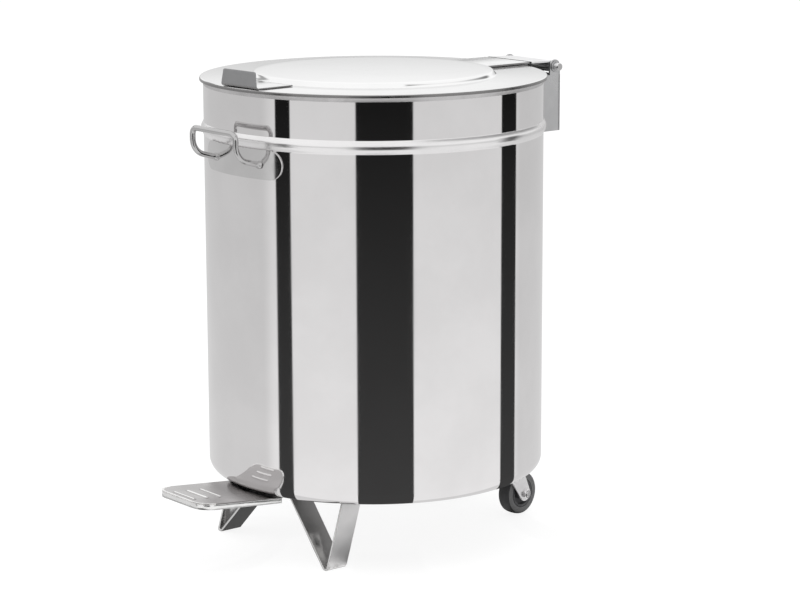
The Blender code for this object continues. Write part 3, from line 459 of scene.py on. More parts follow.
class Effects:
    """The node groups that the finishes share."""

    def __init__(self) -> None:
        """Make the groups."""
        self.polish = self._polish_marks()
        self.grain = self._moulded_grain()
        self.dust = self._floor_dust()

    @staticmethod
    def _group(name: str, inputs: dict[str, str], outputs: tuple[str, ...]) -> tuple[NodeDesk, Socket, dict, dict]:
        """Make a group with named inputs and value outputs.

        Args:
            name: The group's name.
            inputs: Socket type by input name.
            outputs: Names of the value outputs.

        Returns:
            A desk on the group, its Object coordinates, and its inputs and outputs by name.
        """
        tree = bpy.data.node_groups.new(name, "ShaderNodeTree")
        for label, kind in inputs.items():
            tree.interface.new_socket(label, in_out='INPUT', socket_type=kind)
        for label in outputs:
            tree.interface.new_socket(label, in_out='OUTPUT', socket_type="NodeSocketFloat")
        desk = NodeDesk(tree)
        given, made = desk.add("NodeGroupInput").outputs, desk.add("NodeGroupOutput").inputs
        return desk, desk.add("ShaderNodeTexCoord").outputs["Object"], given, made

    def _polish_marks(self) -> NodeTree:
        """Make the fine lines that polishing leaves, drawn out along one axis, and broad smears from cleaning.

        Returns:
            The group.
        """
        inputs = {"Stretch": "NodeSocketVector", "Cloud": "NodeSocketFloat"}
        desk, place, given, made = self._group("polish_marks", inputs, ("Line", "Smear"))
        drawn = desk.vector('MULTIPLY', "Vector", place, given["Stretch"])
        desk.feed(made["Line"], desk.noise(drawn, 1.0, 3.0, 0.6))
        cloud = desk.noise(place, given["Cloud"], 4.0, 0.55)
        desk.feed(made["Smear"], desk.spread(cloud, 0.34, 0.68, smooth=True))
        return desk.tree

    def _moulded_grain(self) -> NodeTree:
        """Make the fine pebbled skin of moulded rubber and plastic, and a slow change of tone.

        Returns:
            The group.
        """
        desk, place, given, made = self._group("moulded_grain", {"Size": "NodeSocketFloat"}, ("Pebble", "Tone"))
        cells = {"Vector": place, "Scale": given["Size"]}
        desk.feed(made["Pebble"], desk.wire("ShaderNodeTexVoronoi", cells, "Distance", feature='SMOOTH_F1'))
        desk.feed(made["Tone"], desk.noise(place, 90.0, 4.0, 0.6))
        return desk.tree

    def _floor_dust(self) -> NodeTree:
        """Make dust and scuffs that gather near the floor and fade with height.

        Returns:
            The group.
        """
        desk, place, given, made = self._group("floor_dust", {"Reach": "NodeSocketFloat"}, ("Mask",))
        height = desk.wire("ShaderNodeSeparateXYZ", {0: place}, "Z")
        low = desk.spread(height, 0.0, given["Reach"], 1.0, 0.0, smooth=True)
        patch = desk.spread(desk.noise(place, 140.0, 5.0, 0.7), 0.42, 0.72, smooth=True)
        desk.feed(made["Mask"], desk.math('MULTIPLY', low, patch))
        return desk.tree


class Finish:
    """Base of the finishes: makes the material once and keeps it."""

    name: str
    slot: Slot

    def material(self, effects: Effects) -> Material:
        """Return the finish's material, built on first use.

        Args:
            effects: The shared node groups.

        Returns:
            The material.
        """
        known = bpy.data.materials.get(self.name)
        if known:
            return known
        made = bpy.data.materials.new(self.name)
        made.use_nodes = True
        self.build(NodeDesk(made.node_tree), made.node_tree.nodes["Principled BSDF"], effects)
        return made

    def build(self, desk: NodeDesk, shader: Node, effects: Effects) -> None:
        """Wire the finish's nodes into its shader."""
        raise NotImplementedError


@dataclass(frozen=True)
class SteelFinish(Finish):
    """Bare or plated steel.

    The lines change the normal a little, the smears the roughness and the tone.
    """

    name: str
    colour: Triple
    roughness: Pair
    line_depth: float
    stretch: Triple = (300, 300, 300)
    slot: Slot = Slot.POLISHED
    cloud: float = 9.0
    tone: float = 0.95
    dust: float = 0.0
    line_height: float = 0.0002
    dust_colour: Triple = (0.30, 0.29, 0.27)
    dust_cover: float = 0.35
    dust_roughness: float = 0.25

    def build(self, desk: NodeDesk, shader: Node, effects: Effects) -> None:
        """Wire the polish marks, and dust where the finish has it.

        Args:
            desk: A desk on the material.
            shader: The material's shader.
            effects: The shared node groups.
        """
        marks = desk.group(effects.polish, Stretch=self.stretch, Cloud=self.cloud)
        dull = tuple(part * self.tone for part in self.colour)
        colour = desk.mix(marks["Smear"], (*dull, 1), (*self.colour, 1))
        rough = desk.spread(marks["Smear"], 0.0, 1.0, self.roughness[1], self.roughness[0])
        if self.dust:
            film = desk.group(effects.dust, Reach=self.dust)["Mask"]
            colour = desk.mix(desk.math('MULTIPLY', film, self.dust_cover), colour, (*self.dust_colour, 1))
            rough = desk.math('ADD', rough, desk.math('MULTIPLY', film, self.dust_roughness))
        desk.feed(shader.inputs["Base Color"], colour)
        desk.feed(shader.inputs["Roughness"], rough)
        shader.inputs["Metallic"].default_value = 1.0
        desk.bump(shader, marks["Line"], self.line_depth, self.line_height)


@dataclass(frozen=True)
class MouldedFinish(Finish):
    """Moulded rubber or plastic with a pebbled skin."""

    name: str
    slot: Slot
    colour: Triple
    pale: Triple
    roughness: Pair
    grain_size: float
    grain_depth: float
    dust: float
    grain_height: float = 0.0003
    dust_colour: Triple = (0.24, 0.23, 0.21)
    dust_cover: float = 0.4

    def build(self, desk: NodeDesk, shader: Node, effects: Effects) -> None:
        """Wire the skin's grain, its tone and the dust.

        Args:
            desk: A desk on the material.
            shader: The material's shader.
            effects: The shared node groups.
        """
        skin = desk.group(effects.grain, Size=self.grain_size)
        film = desk.group(effects.dust, Reach=self.dust)["Mask"]
        tone = desk.spread(skin["Tone"], 0.3, 0.7)
        colour = desk.mix(tone, (*self.colour, 1), (*self.pale, 1))
        cover = desk.math('MULTIPLY', film, self.dust_cover)
        desk.feed(shader.inputs["Base Color"], desk.mix(cover, colour, (*self.dust_colour, 1)))
        desk.feed(shader.inputs["Roughness"], desk.spread(tone, 0.0, 1.0, *self.roughness))
        desk.bump(shader, skin["Pebble"], self.grain_depth, self.grain_height)


DRUM_STEEL = SteelFinish("drum_polish", (0.805, 0.792, 0.794), (0.03, 0.06), 0.012, (40, 40, 900))
LID_STEEL = SteelFinish("lid_polish", (0.90, 0.90, 0.90), (0.05, 0.10), 0.012)
RING_STEEL = SteelFinish("ring_polish", (0.77, 0.77, 0.77), (0.05, 0.10), 0.012)
BEAD_STEEL = SteelFinish("bead_polish", (0.82, 0.81, 0.812), (0.20, 0.28), 0.02, (40, 40, 900))
RIM_STEEL = SteelFinish("rim_satin", (0.56, 0.552, 0.554), (0.34, 0.44), 0.03, cloud=40)
# Partly a duller unpolished finish and partly painted shade: a dark steel for the shaded underside of the base.
UNDER_SHADE_STEEL = SteelFinish("underside_dull", (0.36, 0.355, 0.355), (0.44, 0.56), 0.05, cloud=30)
# Painted shade: a dark steel for the shadow gap under the lid's edge, the shadowed bend at the tab's foot and the
# strap's shaded side edges.
EDGE_SHADE_STEEL = SteelFinish("hem_edge", (0.26, 0.255, 0.255), (0.22, 0.34), 0.04, cloud=60)
# Painted shade: a near-black steel for the shadow inside the strap's pressed seam.
SEAM_SHADE_STEEL = SteelFinish("seam_shade", (0.06, 0.06, 0.06), (0.40, 0.50), 0.04, cloud=60)
WIRE_STEEL = SteelFinish("wire_polish", (0.52, 0.515, 0.515), (0.06, 0.14), 0.03)
PLATE_STEEL = SteelFinish("plate_polish", (0.68, 0.672, 0.672), (0.06, 0.11), 0.02, (60, 60, 900), cloud=30)
# Partly wear and partly painted highlight: bright steel on the pedal's rib tops, front margin and turned-down edge.
WEAR_HIGHLIGHT_STEEL = SteelFinish("worn_polish", (0.90, 0.895, 0.89), (0.16, 0.26), 0.04, (900, 60, 300), cloud=40)
PEDAL_STEEL = SteelFinish("pedal_polish", (0.43, 0.418, 0.416), (0.16, 0.26), 0.05, (900, 60, 300), cloud=22, tone=0.94)
FOOT_STEEL = SteelFinish("foot_polish", (0.74, 0.735, 0.73), (0.10, 0.20), 0.04, (300, 900, 300), cloud=22, dust=0.02)
# Painted light: a paler satin copy of the foot steel for the outward faces that catch the room's light.
ARM_LIT_SATIN = SteelFinish("arm_satin", (0.97, 0.96, 0.96), (0.46, 0.56), 0.04, (300, 900, 300), cloud=22, dust=0.02)
STRAP_STEEL = SteelFinish("strap_polish", (0.80, 0.80, 0.80), (0.10, 0.18), 0.03, (60, 900, 900), cloud=30)
SATIN_STEEL = SteelFinish("satin_sheet", (0.54, 0.54, 0.545), (0.26, 0.36), 0.08, (900, 900, 40), Slot.SATIN, 30, 0.94)
# Painted reflection: the finger tab's upright face is a dark steel for the dark floor that it mirrors.
TAB_SHADED_STEEL = SteelFinish("tab_sheet", (0.34, 0.34, 0.345), (0.28, 0.38), 0.08, (40, 900, 900), Slot.SATIN, 60, 0.94)
# Painted light: the strap's curl is a pale satin steel to lift it out of the shade it lies in.
BARREL_LIT_STEEL = SteelFinish("barrel_satin", (0.86, 0.86, 0.865), (0.36, 0.46), 0.06, (900, 60, 60), Slot.SATIN, 60)
# Painted light: a pale satin steel for the pin's middle, which lies in the dark gap between the bracket's cheeks.
PIN_LIT_SATIN = SteelFinish("pin_satin", (0.92, 0.92, 0.925), (0.46, 0.56), 0.04, (900, 60, 60), Slot.SATIN, 60)
ZINC_STEEL = SteelFinish("zinc_plate", (0.86, 0.85, 0.855), (0.14, 0.24), 0.03, (700, 700, 700), Slot.ZINC, 120, 0.92,
                         0.02)
FORK_STEEL = SteelFinish("fork_plate", (0.95, 0.94, 0.945), (0.44, 0.54), 0.03, (700, 700, 700), Slot.ZINC, 120, 0.94,
                         0.02)
CLIP_STEEL = SteelFinish("clip_steel", (0.50, 0.50, 0.505), (0.30, 0.42), 0.06, (500, 500, 500), Slot.DARK, 90)
DARK_STEEL = SteelFinish("spring_steel", (0.16, 0.16, 0.17), (0.28, 0.42), 0.08, (500, 500, 500), Slot.DARK, 90, 0.8)
HUB_PLASTIC = MouldedFinish("hub_moulding", Slot.PLASTIC, (0.075, 0.075, 0.08), (0.10, 0.10, 0.105), (0.42, 0.55),
                            1800, 0.12, 0.02)
TYRE_SIDE = MouldedFinish("tyre_side", Slot.RUBBER, (0.15, 0.15, 0.152), (0.20, 0.20, 0.202), (0.52, 0.66),
                          1300, 0.18, 0.016)
TYRE_RUBBER = MouldedFinish("tyre_rubber", Slot.RUBBER, (0.036, 0.036, 0.038), (0.055, 0.055, 0.057), (0.58, 0.74),
                            1300, 0.22, 0.016)


class Workshop:
    """Makes pieces from surfaces, dresses them and fixes them to their bodies."""

    def __init__(self) -> None:
        """Open a collection for the pieces."""
        self.effects = Effects()
        self.collection = bpy.data.collections.new("pedal_bin_looks")
        bpy.context.scene.collection.children.link(self.collection)
        self.replaced: set[str] = set()

    def piece(self, name: str, surface: Surface, body: str, nodes: tuple[str, ...], finish: Finish,
              sharp: float = 38.0, trims: tuple[tuple[Finish, Picker], ...] = ()) -> Object:
        """Turn a surface into a smooth piece that stands for CAD nodes.

        Args:
            name: The piece's name.
            surface: Its surface, in the frame of the CAD model.
            body: The CAD body that it rides on.
            nodes: The CAD nodes that it replaces.
            finish: Its finish.
            sharp: Edges with a larger angle, in degrees, stay sharp.
            trims: Other finishes, each with a picker of its faces from their middles and normals.

        Returns:
            The new object.
        """
        mesh = surface.mesh(name)
        mesh.shade_smooth()
        mesh.set_sharp_from_angle(angle=math.radians(sharp))
        mesh.materials.append(finish.material(self.effects))
        middles, normals = np.empty(len(mesh.polygons) * 3), np.empty(len(mesh.polygons) * 3)
        mesh.polygons.foreach_get("center", middles)
        mesh.polygons.foreach_get("normal", normals)
        chosen = np.zeros(len(mesh.polygons), dtype=np.int32)
        for index, (trim, picks) in enumerate(trims, start=1):
            mesh.materials.append(trim.material(self.effects))
            chosen[picks(middles.reshape(-1, 3), normals.reshape(-1, 3))] = index
        mesh.polygons.foreach_set("material_index", chosen)
        item = bpy.data.objects.new(name, mesh)
        self.collection.objects.link(item)
        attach(item, body)
        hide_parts(*nodes)
        self.replaced.update(nodes)
        LOG.info("%s: %d points on %s", name, len(mesh.vertices), body)
        return item

    def dress(self, node: str, finish: Finish, edge: float = 0.0004) -> None:
        """Give a CAD node its finish and softly broken edges.

        The loose triangles are welded and their flat areas made one face each before the edges are bevelled.

        Args:
            node: The CAD node.
            finish: Its finish.
            edge: Width of the bevel.
        """
        item = FRAME["nodes"][node]
        item.data.materials.clear()
        item.data.materials.append(finish.material(self.effects))
        item.modifiers.new("weld", 'WELD').merge_threshold = 10 * SAME_POINT
        flatten = item.modifiers.new("flatten", 'DECIMATE')
        flatten.decimate_type = 'DISSOLVE'
        flatten.angle_limit = math.radians(2)
        soften(item, edge, 2, 35)
        LOG.info("%s: CAD node dressed", node)


@dataclass
class Drum:
    """The drum: one smooth shell for wall and base, with its bead and flared rim."""

    axis_y: float
    radius: float = 0.225
    sheet: float = 0.0012
    base_z: float = 0.0906
    rim_z: float = 0.619
    edge_radius: float = 0.016
    bead_z: float = 0.5536
    bead_height: float = 0.0172
    bead_proud: float = 0.0035
    rim_height: float = 0.0078
    rim_lip: float = 0.0020
    rim_proud: float = 0.0028
    rim_bends: Triple = (0.0006, 0.0009, 0.0009)
    rim_margin: float = 0.0004
    guard_rows: Pair = (0.0006, 0.003)
    under_cosine: float = 0.98
    steps: int = 288

    @property
    def place(self) -> Matrix:
        """The drum's axis in the frame of the CAD model."""
        return shift(0, self.axis_y, 0)

    def from_axis(self, middle: Array) -> Array:
        """Return how far points lie from the drum's axis."""
        return np.hypot(middle[:, 0], middle[:, 1] - self.axis_y)

    def wall(self, radius: float) -> Array:
        """Return the wall's line from bottom to top: radius + proud sin(pi s) over the bead.

        Guard rows close to each end of the bead and of the wall keep the plain wall's shading straight.

        Args:
            radius: The plain wall's radius.

        Returns:
            Array of (radius, height).
        """
        share = np.linspace(0, 1, 33)
        proud = self.bead_proud * np.sin(math.pi * share)
        bead = np.stack([radius + proud, self.bead_z + self.bead_height * (share - 0.5)], axis=-1)
        guard = np.array(self.guard_rows)
        low, high = self.base_z + self.edge_radius, self.rim_z - self.rim_height
        below = self.bead_z - self.bead_height / 2 - guard[::-1]
        above = self.bead_z + self.bead_height / 2 + guard
        under = np.concatenate([low + guard, np.linspace(low, below[0], 12)[1:-1], below])
        over = np.concatenate([above, np.linspace(above[1], high - guard[0], 5)[1:]])
        line = np.concatenate([under, over])
        plain = np.stack([np.full(len(line), radius), line], axis=-1)
        return np.vstack([plain[:len(under)], bead, plain[len(under):]])

    def on_bead(self, middle: Array, normal: Array) -> Array:
        """Return which faces lie on the bead's outside."""
        outside = self.from_axis(middle) > self.radius - self.sheet / 2
        return outside & (np.abs(middle[:, 2] - self.bead_z) < self.bead_height / 2)

    def build(self, shop: Workshop) -> None:
        """Turn the shell's section, up the outside, over the flared rim and down the inside.

        Args:
            shop: Where the piece is made.
        """
        inside = self.radius - self.sheet
        flat = self.radius - self.edge_radius
        edge = (flat, self.base_z + self.edge_radius)
        low, lip = self.rim_z - self.rim_height, self.radius + self.rim_proud
        flare = np.array([(self.radius, low), (lip, self.rim_z - self.rim_lip), (lip, self.rim_z), (inside, self.rim_z),
                          (inside, low)])
        profile = np.vstack([
            [(0, self.base_z), (flat * 0.5, self.base_z)],
            arc(edge, self.edge_radius, -90, 0, 17),
            self.wall(self.radius),
            rounded(flare, np.array(self.rim_bends), 7),
            self.wall(inside)[::-1],
            arc(edge, self.edge_radius - self.sheet, 0, -90, 17),
            [(flat * 0.5, self.base_z + self.sheet), (0, self.base_z + self.sheet)]])
        shell = lathe(profile, self.steps).placed(self.place)
        under = self.base_z + self.sheet / 2
        trims = ((RIM_STEEL, lambda middle, normal: middle[:, 2] > low - self.rim_margin), (BEAD_STEEL, self.on_bead),
                 # The base's underside: duller finish, darkened as painted shade.
                 (UNDER_SHADE_STEEL, lambda middle, normal: (normal[:, 2] < -self.under_cosine) & (middle[:, 2] < under)))
        shop.piece("drum_shell", shell, "frame", ("drum_wall", "drum_base"), DRUM_STEEL, trims=trims)


@dataclass
class Handle:
    """The bent wire handle and the round-ended plate behind it."""

    drum: Drum
    root_span: float = 0.094
    root_below_bead: float = 0.0277
    wire_radius: float = 0.0038
    weld_flare: float = 0.45
    weld_reach: float = 0.0028
    standoff: float = 0.0335
    arm_radius: float = 0.022
    arm_slope: float = 15.0
    grip_bend: float = 0.009
    rise: float = 0.0415
    plate_length: float = 0.161
    plate_height: float = 0.038
    plate_sheet: float = 0.0018
    plate_edge: float = 0.0006
    bead_seat: float = 0.008

    def wire_path(self) -> Array:
        """Lay the wire's middle line: out of the plate, up through the J bend and across the grip.

        Returns:
            Array of points, measured from the drum's axis.
        """
        outside = self.drum.radius + SEAT_GAP + self.plate_sheet
        root_x = self.root_span / 2
        root_y = math.sqrt((outside + SEAT_GAP) ** 2 - root_x ** 2)
        root_z = self.drum.bead_z - self.root_below_bead
        slope = math.radians(self.arm_slope)
        grip_y = self.drum.radius + self.standoff
        grip_z = root_z + self.rise
        knee_y = grip_y - self.arm_radius * (1 - math.sin(slope))
        knee_z = root_z + (knee_y - root_y) * math.tan(slope)
        bend = (grip_y - self.arm_radius, knee_z + self.arm_radius * math.cos(slope))
        arm = np.vstack([np.linspace((root_y, root_z), (knee_y, knee_z), 14)[:-1],
                         arc(bend, self.arm_radius, self.arm_slope - 90, 0, 22)])
        corner = arc((root_x - self.grip_bend, grip_z - self.grip_bend), self.grip_bend, 0, 90, 14)
        rise = np.stack([np.full(len(arm), root_x), -arm[:, 0], arm[:, 1]], axis=-1)
        top = np.stack([corner[:, 0], np.full(len(corner), -grip_y), corner[:, 1]], axis=-1)
        half = np.vstack([rise, top])
        grip = np.linspace(half[-1], half[-1] * (-1, 1, 1), 24)[1:-1]
        return np.vstack([half, grip, half[::-1] * (-1, 1, 1)])

    def build(self, shop: Workshop) -> None:
        """Make the wire, flared by its welds, and the curved plate.

        The wire's radius grows near each end by exp(-(s / reach)^2); the plate's half height follows a half circle
        at each end.

        Args:
            shop: Where the pieces are made.
        """
        path = self.wire_path()
        run = np.concatenate([[0], np.cumsum(np.linalg.norm(np.diff(path, axis=0), axis=1))])
        reach = np.minimum(run, run[-1] - run)
        radius = self.wire_radius * (1 + self.weld_flare * np.exp(-(reach / self.weld_reach) ** 2))
        shop.piece("handle_bow", tube(path, radius).placed(self.drum.place), "frame", ("handle_wire",), WIRE_STEEL)

        end = self.plate_height / 2
        straight = self.plate_length / 2 - end
        turn = np.radians(np.linspace(0, 90, 25))
        tip = straight + end * np.cos(turn[:-1])
        across = np.concatenate([-tip, np.linspace(-straight, straight, 49), tip[::-1]])
        past = np.maximum(np.abs(across) - straight, 0)
        tall = np.sqrt(np.maximum(end ** 2 - past ** 2, 0))
        middle = self.drum.bead_z - self.bead_seat - SEAT_GAP - end
        height = middle + tall[:, None] * np.linspace(-1, 1, 13)[None, :]
        width = np.broadcast_to(across[:, None], height.shape)
        shells = [self.drum.radius + SEAT_GAP + depth for depth in (self.plate_sheet, 0.0)]
        outer, inner = (np.stack([width, -np.sqrt(shell ** 2 - width ** 2), height], axis=-1) for shell in shells)
        plate = slab(outer, inner).placed(self.drum.place)
        item = shop.piece("handle_backing", plate, "frame", ("handle_plate",), PLATE_STEEL)
        soften(item, self.plate_edge, 3, 50)


@dataclass
class Lid:
    """The lid pressing and its finger tab."""

    drum: Drum
    radius: float = 0.2298
    sheet: float = 0.0012
    top_z: float = 0.6205
    skirt: float = 0.0044
    corner: float = 0.0022
    rise_radius: float = 0.163
    rise: float = 0.0056
    rise_width: float = 0.006
    crown: float = 0.0012
    hem_drop: float = 0.0007
    hem_depth: float = 0.0016
    ring_cosine: float = 0.9
    tab_widths: Pair = (0.071, 0.064)
    tab_height: float = 0.0225
    tab_lean: float = 4.0
    tab_foot: float = 0.056
    tab_sheet: float = 0.0018
    tab_edge: float = 0.0005
    tab_bend: float = 0.003
    tab_corner: float = 0.002
    tab_fold: float = 0.0024
    sole_cosine: float = 0.8
    tab_inset: float = 0.0025
    tab_angle: float = 3.0

    def top_line(self) -> Array:
        """Lay the top's line: a shallow crown and a cosine step down to the flat ring.

        Returns:
            Array of (radius, height).
        """
        shoulder = self.rise_radius - self.rise_width
        inner = np.linspace(0, shoulder, 17)
        crown = np.stack([inner, self.top_z + self.rise + self.crown * (1 - (inner / shoulder) ** 2)], axis=-1)
        share = np.linspace(0, 1, 25)[1:]
        fall = self.rise * (1 + np.cos(math.pi * share)) / 2
        step = np.stack([shoulder + self.rise_width * share, self.top_z + fall], axis=-1)
        return np.vstack([crown, step])

    def build(self, shop: Workshop) -> None:
        """Turn the lid's section and bend the tab.

        Args:
            shop: Where the pieces are made.
        """
        top = self.top_line()
        edge = (self.radius - self.corner, self.top_z - self.corner)
        inside = self.radius - self.sheet
        foot = self.top_z - self.skirt
        profile = np.vstack([top, arc(edge, self.corner, 90, 0, 11), [(self.radius, foot), (inside, foot)],
                             arc(edge, self.corner - self.sheet, 0, 90, 7), top[::-1] - (0, self.sheet)])
        pressing = lathe(profile, self.drum.steps).placed(self.drum.place)
        # Painted shade: the lower part of the lid's hem is dark for the shadow gap above the drum's rim.
        hem_shade = (EDGE_SHADE_STEEL, lambda middle, normal: (middle[:, 2] < self.top_z - self.hem_drop) & (
            self.drum.from_axis(middle) > self.radius - self.hem_depth))
        ring = (RING_STEEL, lambda middle, normal: (normal[:, 2] > self.ring_cosine) & (
            self.drum.from_axis(middle) > self.rise_radius))
        shop.piece("lid_pressing", pressing, "lid", ("lid",), LID_STEEL, trims=(ring, hem_shade))
        self.build_tab(shop)

    def build_tab(self, shop: Workshop) -> None:
        """Bend the finger tab, narrower and round-cornered towards its top.

        Args:
            shop: Where the piece is made.
        """
        base = self.top_z + SEAT_GAP + self.tab_sheet / 2
        front = -(self.radius - self.tab_inset)
        lean = math.tan(math.radians(self.tab_lean))
        high = self.top_z + self.tab_height
        corners = np.array([(front + self.tab_bend + self.tab_foot, base), (front, base),
                            (front + (high - base) * lean, high)])
        path = rounded(corners, self.tab_bend, 9)
        wall = np.linspace(path[-2], path[-1], 30)[1:]
        path = np.vstack([np.linspace(path[0], path[1], 8)[:-1], path[1:-1], wall])
        share = np.clip((path[:, 1] - base) / (high - base), 0, 1)
        half = (self.tab_widths[0] + (self.tab_widths[1] - self.tab_widths[0]) * share) / 2
        near = np.clip(1 - (high - path[:, 1]) / self.tab_corner, 0, 1)
        half = half - self.tab_corner * (1 - np.sqrt(1 - near ** 2))
        turn = Matrix.Rotation(math.radians(self.tab_angle), 4, 'Z')
        tab = strip(path, half, self.tab_sheet, self.tab_edge).placed(self.drum.place @ turn)
        # Painted shade: the bend at the tab's foot is dark for the shadow in the fold.
        fold_shade = (EDGE_SHADE_STEEL, lambda middle, normal: middle[:, 2] < base + self.tab_fold)
        # Painted light: the flat top of the tab's foot gets the bright ring steel against the tab's dark steel.
        lit_sole = (RING_STEEL, lambda middle, normal: (middle[:, 2] < base + self.tab_fold) & (
            normal[:, 2] > self.sole_cosine))
        shop.piece("finger_tab", tab, "lid", ("lid_tab",), TAB_SHADED_STEEL, trims=(fold_shade, lit_sole))


@dataclass
class Hinge:
    """The strap rolled round the hinge pin, the bracket on the drum and the pin's rings."""

    drum: Drum
    lid: Lid
    axis_y: float = 0.281
    axis_z: float = 0.6143
    pin_radius: float = 0.005
    pin_overhang: float = 0.010
    pin_chamfer: float = 0.0008
    strap_width: float = 0.090
    strap_sheet: float = 0.0025
    strap_edge: float = 0.0005
    strap_inset: float = 0.0015
    bend_past_rim: float = 0.0085
    curl_radius: float = 0.00655
    curl_end: float = -208.0
    barrel_gap: float = 0.001
    seam_half: float = 0.0019
    seam_depth: float = 0.55
    seam_press: float = 0.97
    seam_shade: float = 1.02
    upper_skin: float = 0.6
    side_cosine: float = 0.6
    cheek_x: float = 0.0455
    bracket_sheet: float = 0.0025
    ring_sheet: float = 0.0012
    ring_flange: float = 0.0028
    ring_chamfer: float = 0.0003

    @property
    def place(self) -> Matrix:
        """The pin's middle in the frame of the CAD model."""
        return self.drum.place @ shift(0, self.axis_y, self.axis_z)

    def strap_path(self) -> Array:
        """Lay the strap's middle line from the lid's rise to the end of its curl.

        Returns:
            Array of (along, up), measured from the pin's axis.
        """
        flat = self.lid.top_z - self.axis_z + SEAT_GAP + self.strap_sheet / 2
        bend = (self.lid.radius + self.bend_past_rim - self.axis_y, flat)
        reach = math.hypot(*bend)
        touch = math.degrees(math.atan2(bend[1], bend[0]) - math.acos(self.curl_radius / reach))
        start = self.lid.rise_radius + self.strap_inset - self.axis_y
        lying = np.linspace((start, flat), bend, 40)[:-1]
        seam = np.array([bend]) + self.seam_half * np.array([(-1, 0), (-0.95, 0), (0.95, 0), (1, 0)])
        curl = arc((0, 0), self.curl_radius, touch, self.curl_end, 49)
        link = np.linspace(bend, curl[0], 14)[1:-1]
        return np.vstack([lying, seam, link, curl])

    def build_strap(self, shop: Workshop) -> None:
        """Roll the strap, cut its front end round the lid's rise and press its seam.

        The front end is cut back by R - sqrt(R^2 - x^2).

        Args:
            shop: Where the piece is made.
        """
        path = self.strap_path()
        strap = strip(path, self.strap_width / 2, self.strap_sheet, self.strap_edge)
        across, lying = strap.points[:, 0], strap.points[:, 1]
        bend = self.lid.radius + self.bend_past_rim - self.axis_y
        trim = self.lid.rise_radius + self.strap_inset
        share = np.clip((bend - lying) / (bend - path[0, 0]), 0, None)
        short = trim - np.sqrt(trim ** 2 - across ** 2)
        strap.points[:, 1] = lying - share * short
        skin = SEAT_GAP + self.strap_sheet * self.upper_skin
        top = strap.points[:, 2] > self.lid.top_z - self.axis_z + skin
        seam = (np.abs(lying - bend) < self.seam_half * self.seam_press) & top
        strap.points[seam, 2] -= self.strap_sheet * self.seam_depth
        back = self.drum.axis_y + self.axis_y + bend
        # Painted light: the curl round the pin gets the pale satin steel.
        trims = ((BARREL_LIT_STEEL, lambda middle, normal: middle[:, 1] > back + self.barrel_gap),
                 # Painted shade: the strap's side edges are dark for the shade under the strap.
                 (EDGE_SHADE_STEEL, lambda middle, normal: (middle[:, 1] < back) & (
                     np.abs(normal[:, 0]) > self.side_cosine)),
                 # Painted shade: the seam's groove is near black for the shadow in it.
                 (SEAM_SHADE_STEEL, lambda middle, normal: np.abs(middle[:, 1] - back) < self.seam_half * self.seam_shade))
        shop.piece("strap_leaf", strap.placed(self.place), "lid", ("hinge_strap",), STRAP_STEEL, trims=trims)

    def build(self, shop: Workshop) -> None:
        """Roll the strap, turn the pin and rings and dress the sheet pieces.

        Args:
            shop: Where the pieces are made.
        """
        self.build_strap(shop)
        outside = self.cheek_x + self.bracket_sheet
        pin = turned(self.pin_radius, outside + self.pin_overhang, self.pin_chamfer, steps=48)
        # Painted light: the pin's middle between the cheeks gets the pale satin steel.
        sheltered_lit = (PIN_LIT_SATIN, lambda middle, normal: np.abs(middle[:, 0]) < self.cheek_x)
        shop.piece("hinge_pin_round", pin.placed(self.place @ ACROSS), "frame", ("hinge_pin",), WIRE_STEEL,
                   trims=(sheltered_lit,))
        bore, flange = self.pin_radius + SEAT_GAP, self.pin_radius + self.ring_flange
        ring = turned(flange, self.ring_sheet / 2, self.ring_chamfer, bore, 48)
        for side in Side:
            offset = shift(side.value * (outside + SEAT_GAP + self.ring_sheet / 2), 0, 0)
            shop.piece(f"hinge_clip_{side.word}", ring.placed(self.place @ offset @ ACROSS), "frame",
                       (f"hinge_ring_{side.word}",), CLIP_STEEL)
        for node in ("hinge_bracket", "hinge_crank", "rod_guide_upper", "rod_guide_lower", "rod_yoke"):
            shop.dress(node, SATIN_STEEL)


@dataclass
class PushRod:
    """The rod behind the drum, its domed foot and the crank's pin."""

    drum: Drum
    rod_y: float = 0.25141
    rod_radius: float = 0.004
    foot_radius: float = 0.007
    foot_height: float = 0.012
    foot_chamfer: float = 0.0008
    crank_pin_radius: float = 0.003
    chamfer: float = 0.0004

    def build(self, shop: Workshop) -> None:
        """Turn the rod, its foot and the crank's pin.

        Args:
            shop: Where the pieces are made.
        """
        low, high = node_box("push_rod")
        place = self.drum.place @ shift(0, self.rod_y, (low[2] + high[2]) / 2)
        rod = turned(self.rod_radius, (high[2] - low[2]) / 2, self.chamfer)
        shop.piece("push_rod_round", rod.placed(place), "rod", ("push_rod",), SATIN_STEEL)
        dome = np.vstack([arc((0, self.foot_radius), self.foot_radius, -90, 0, 17),
                          [(self.foot_radius, self.foot_height - self.foot_chamfer),
                           (self.foot_radius - self.foot_chamfer, self.foot_height), (0, self.foot_height)]])
        foot = lathe(dome).placed(self.drum.place @ shift(0, self.rod_y, node_box("rod_foot")[0][2]))
        shop.piece("rod_foot_dome", foot, "rod", ("rod_foot",), SATIN_STEEL)
        low, high = node_box("crank_pin")
        pin = turned(self.crank_pin_radius, (high[0] - low[0]) / 2, self.chamfer)
        pin = pin.placed(Matrix.Translation(Vector((low + high) / 2)) @ ACROSS)
        shop.piece("crank_pin_round", pin, "lid", ("crank_pin",), SATIN_STEEL)


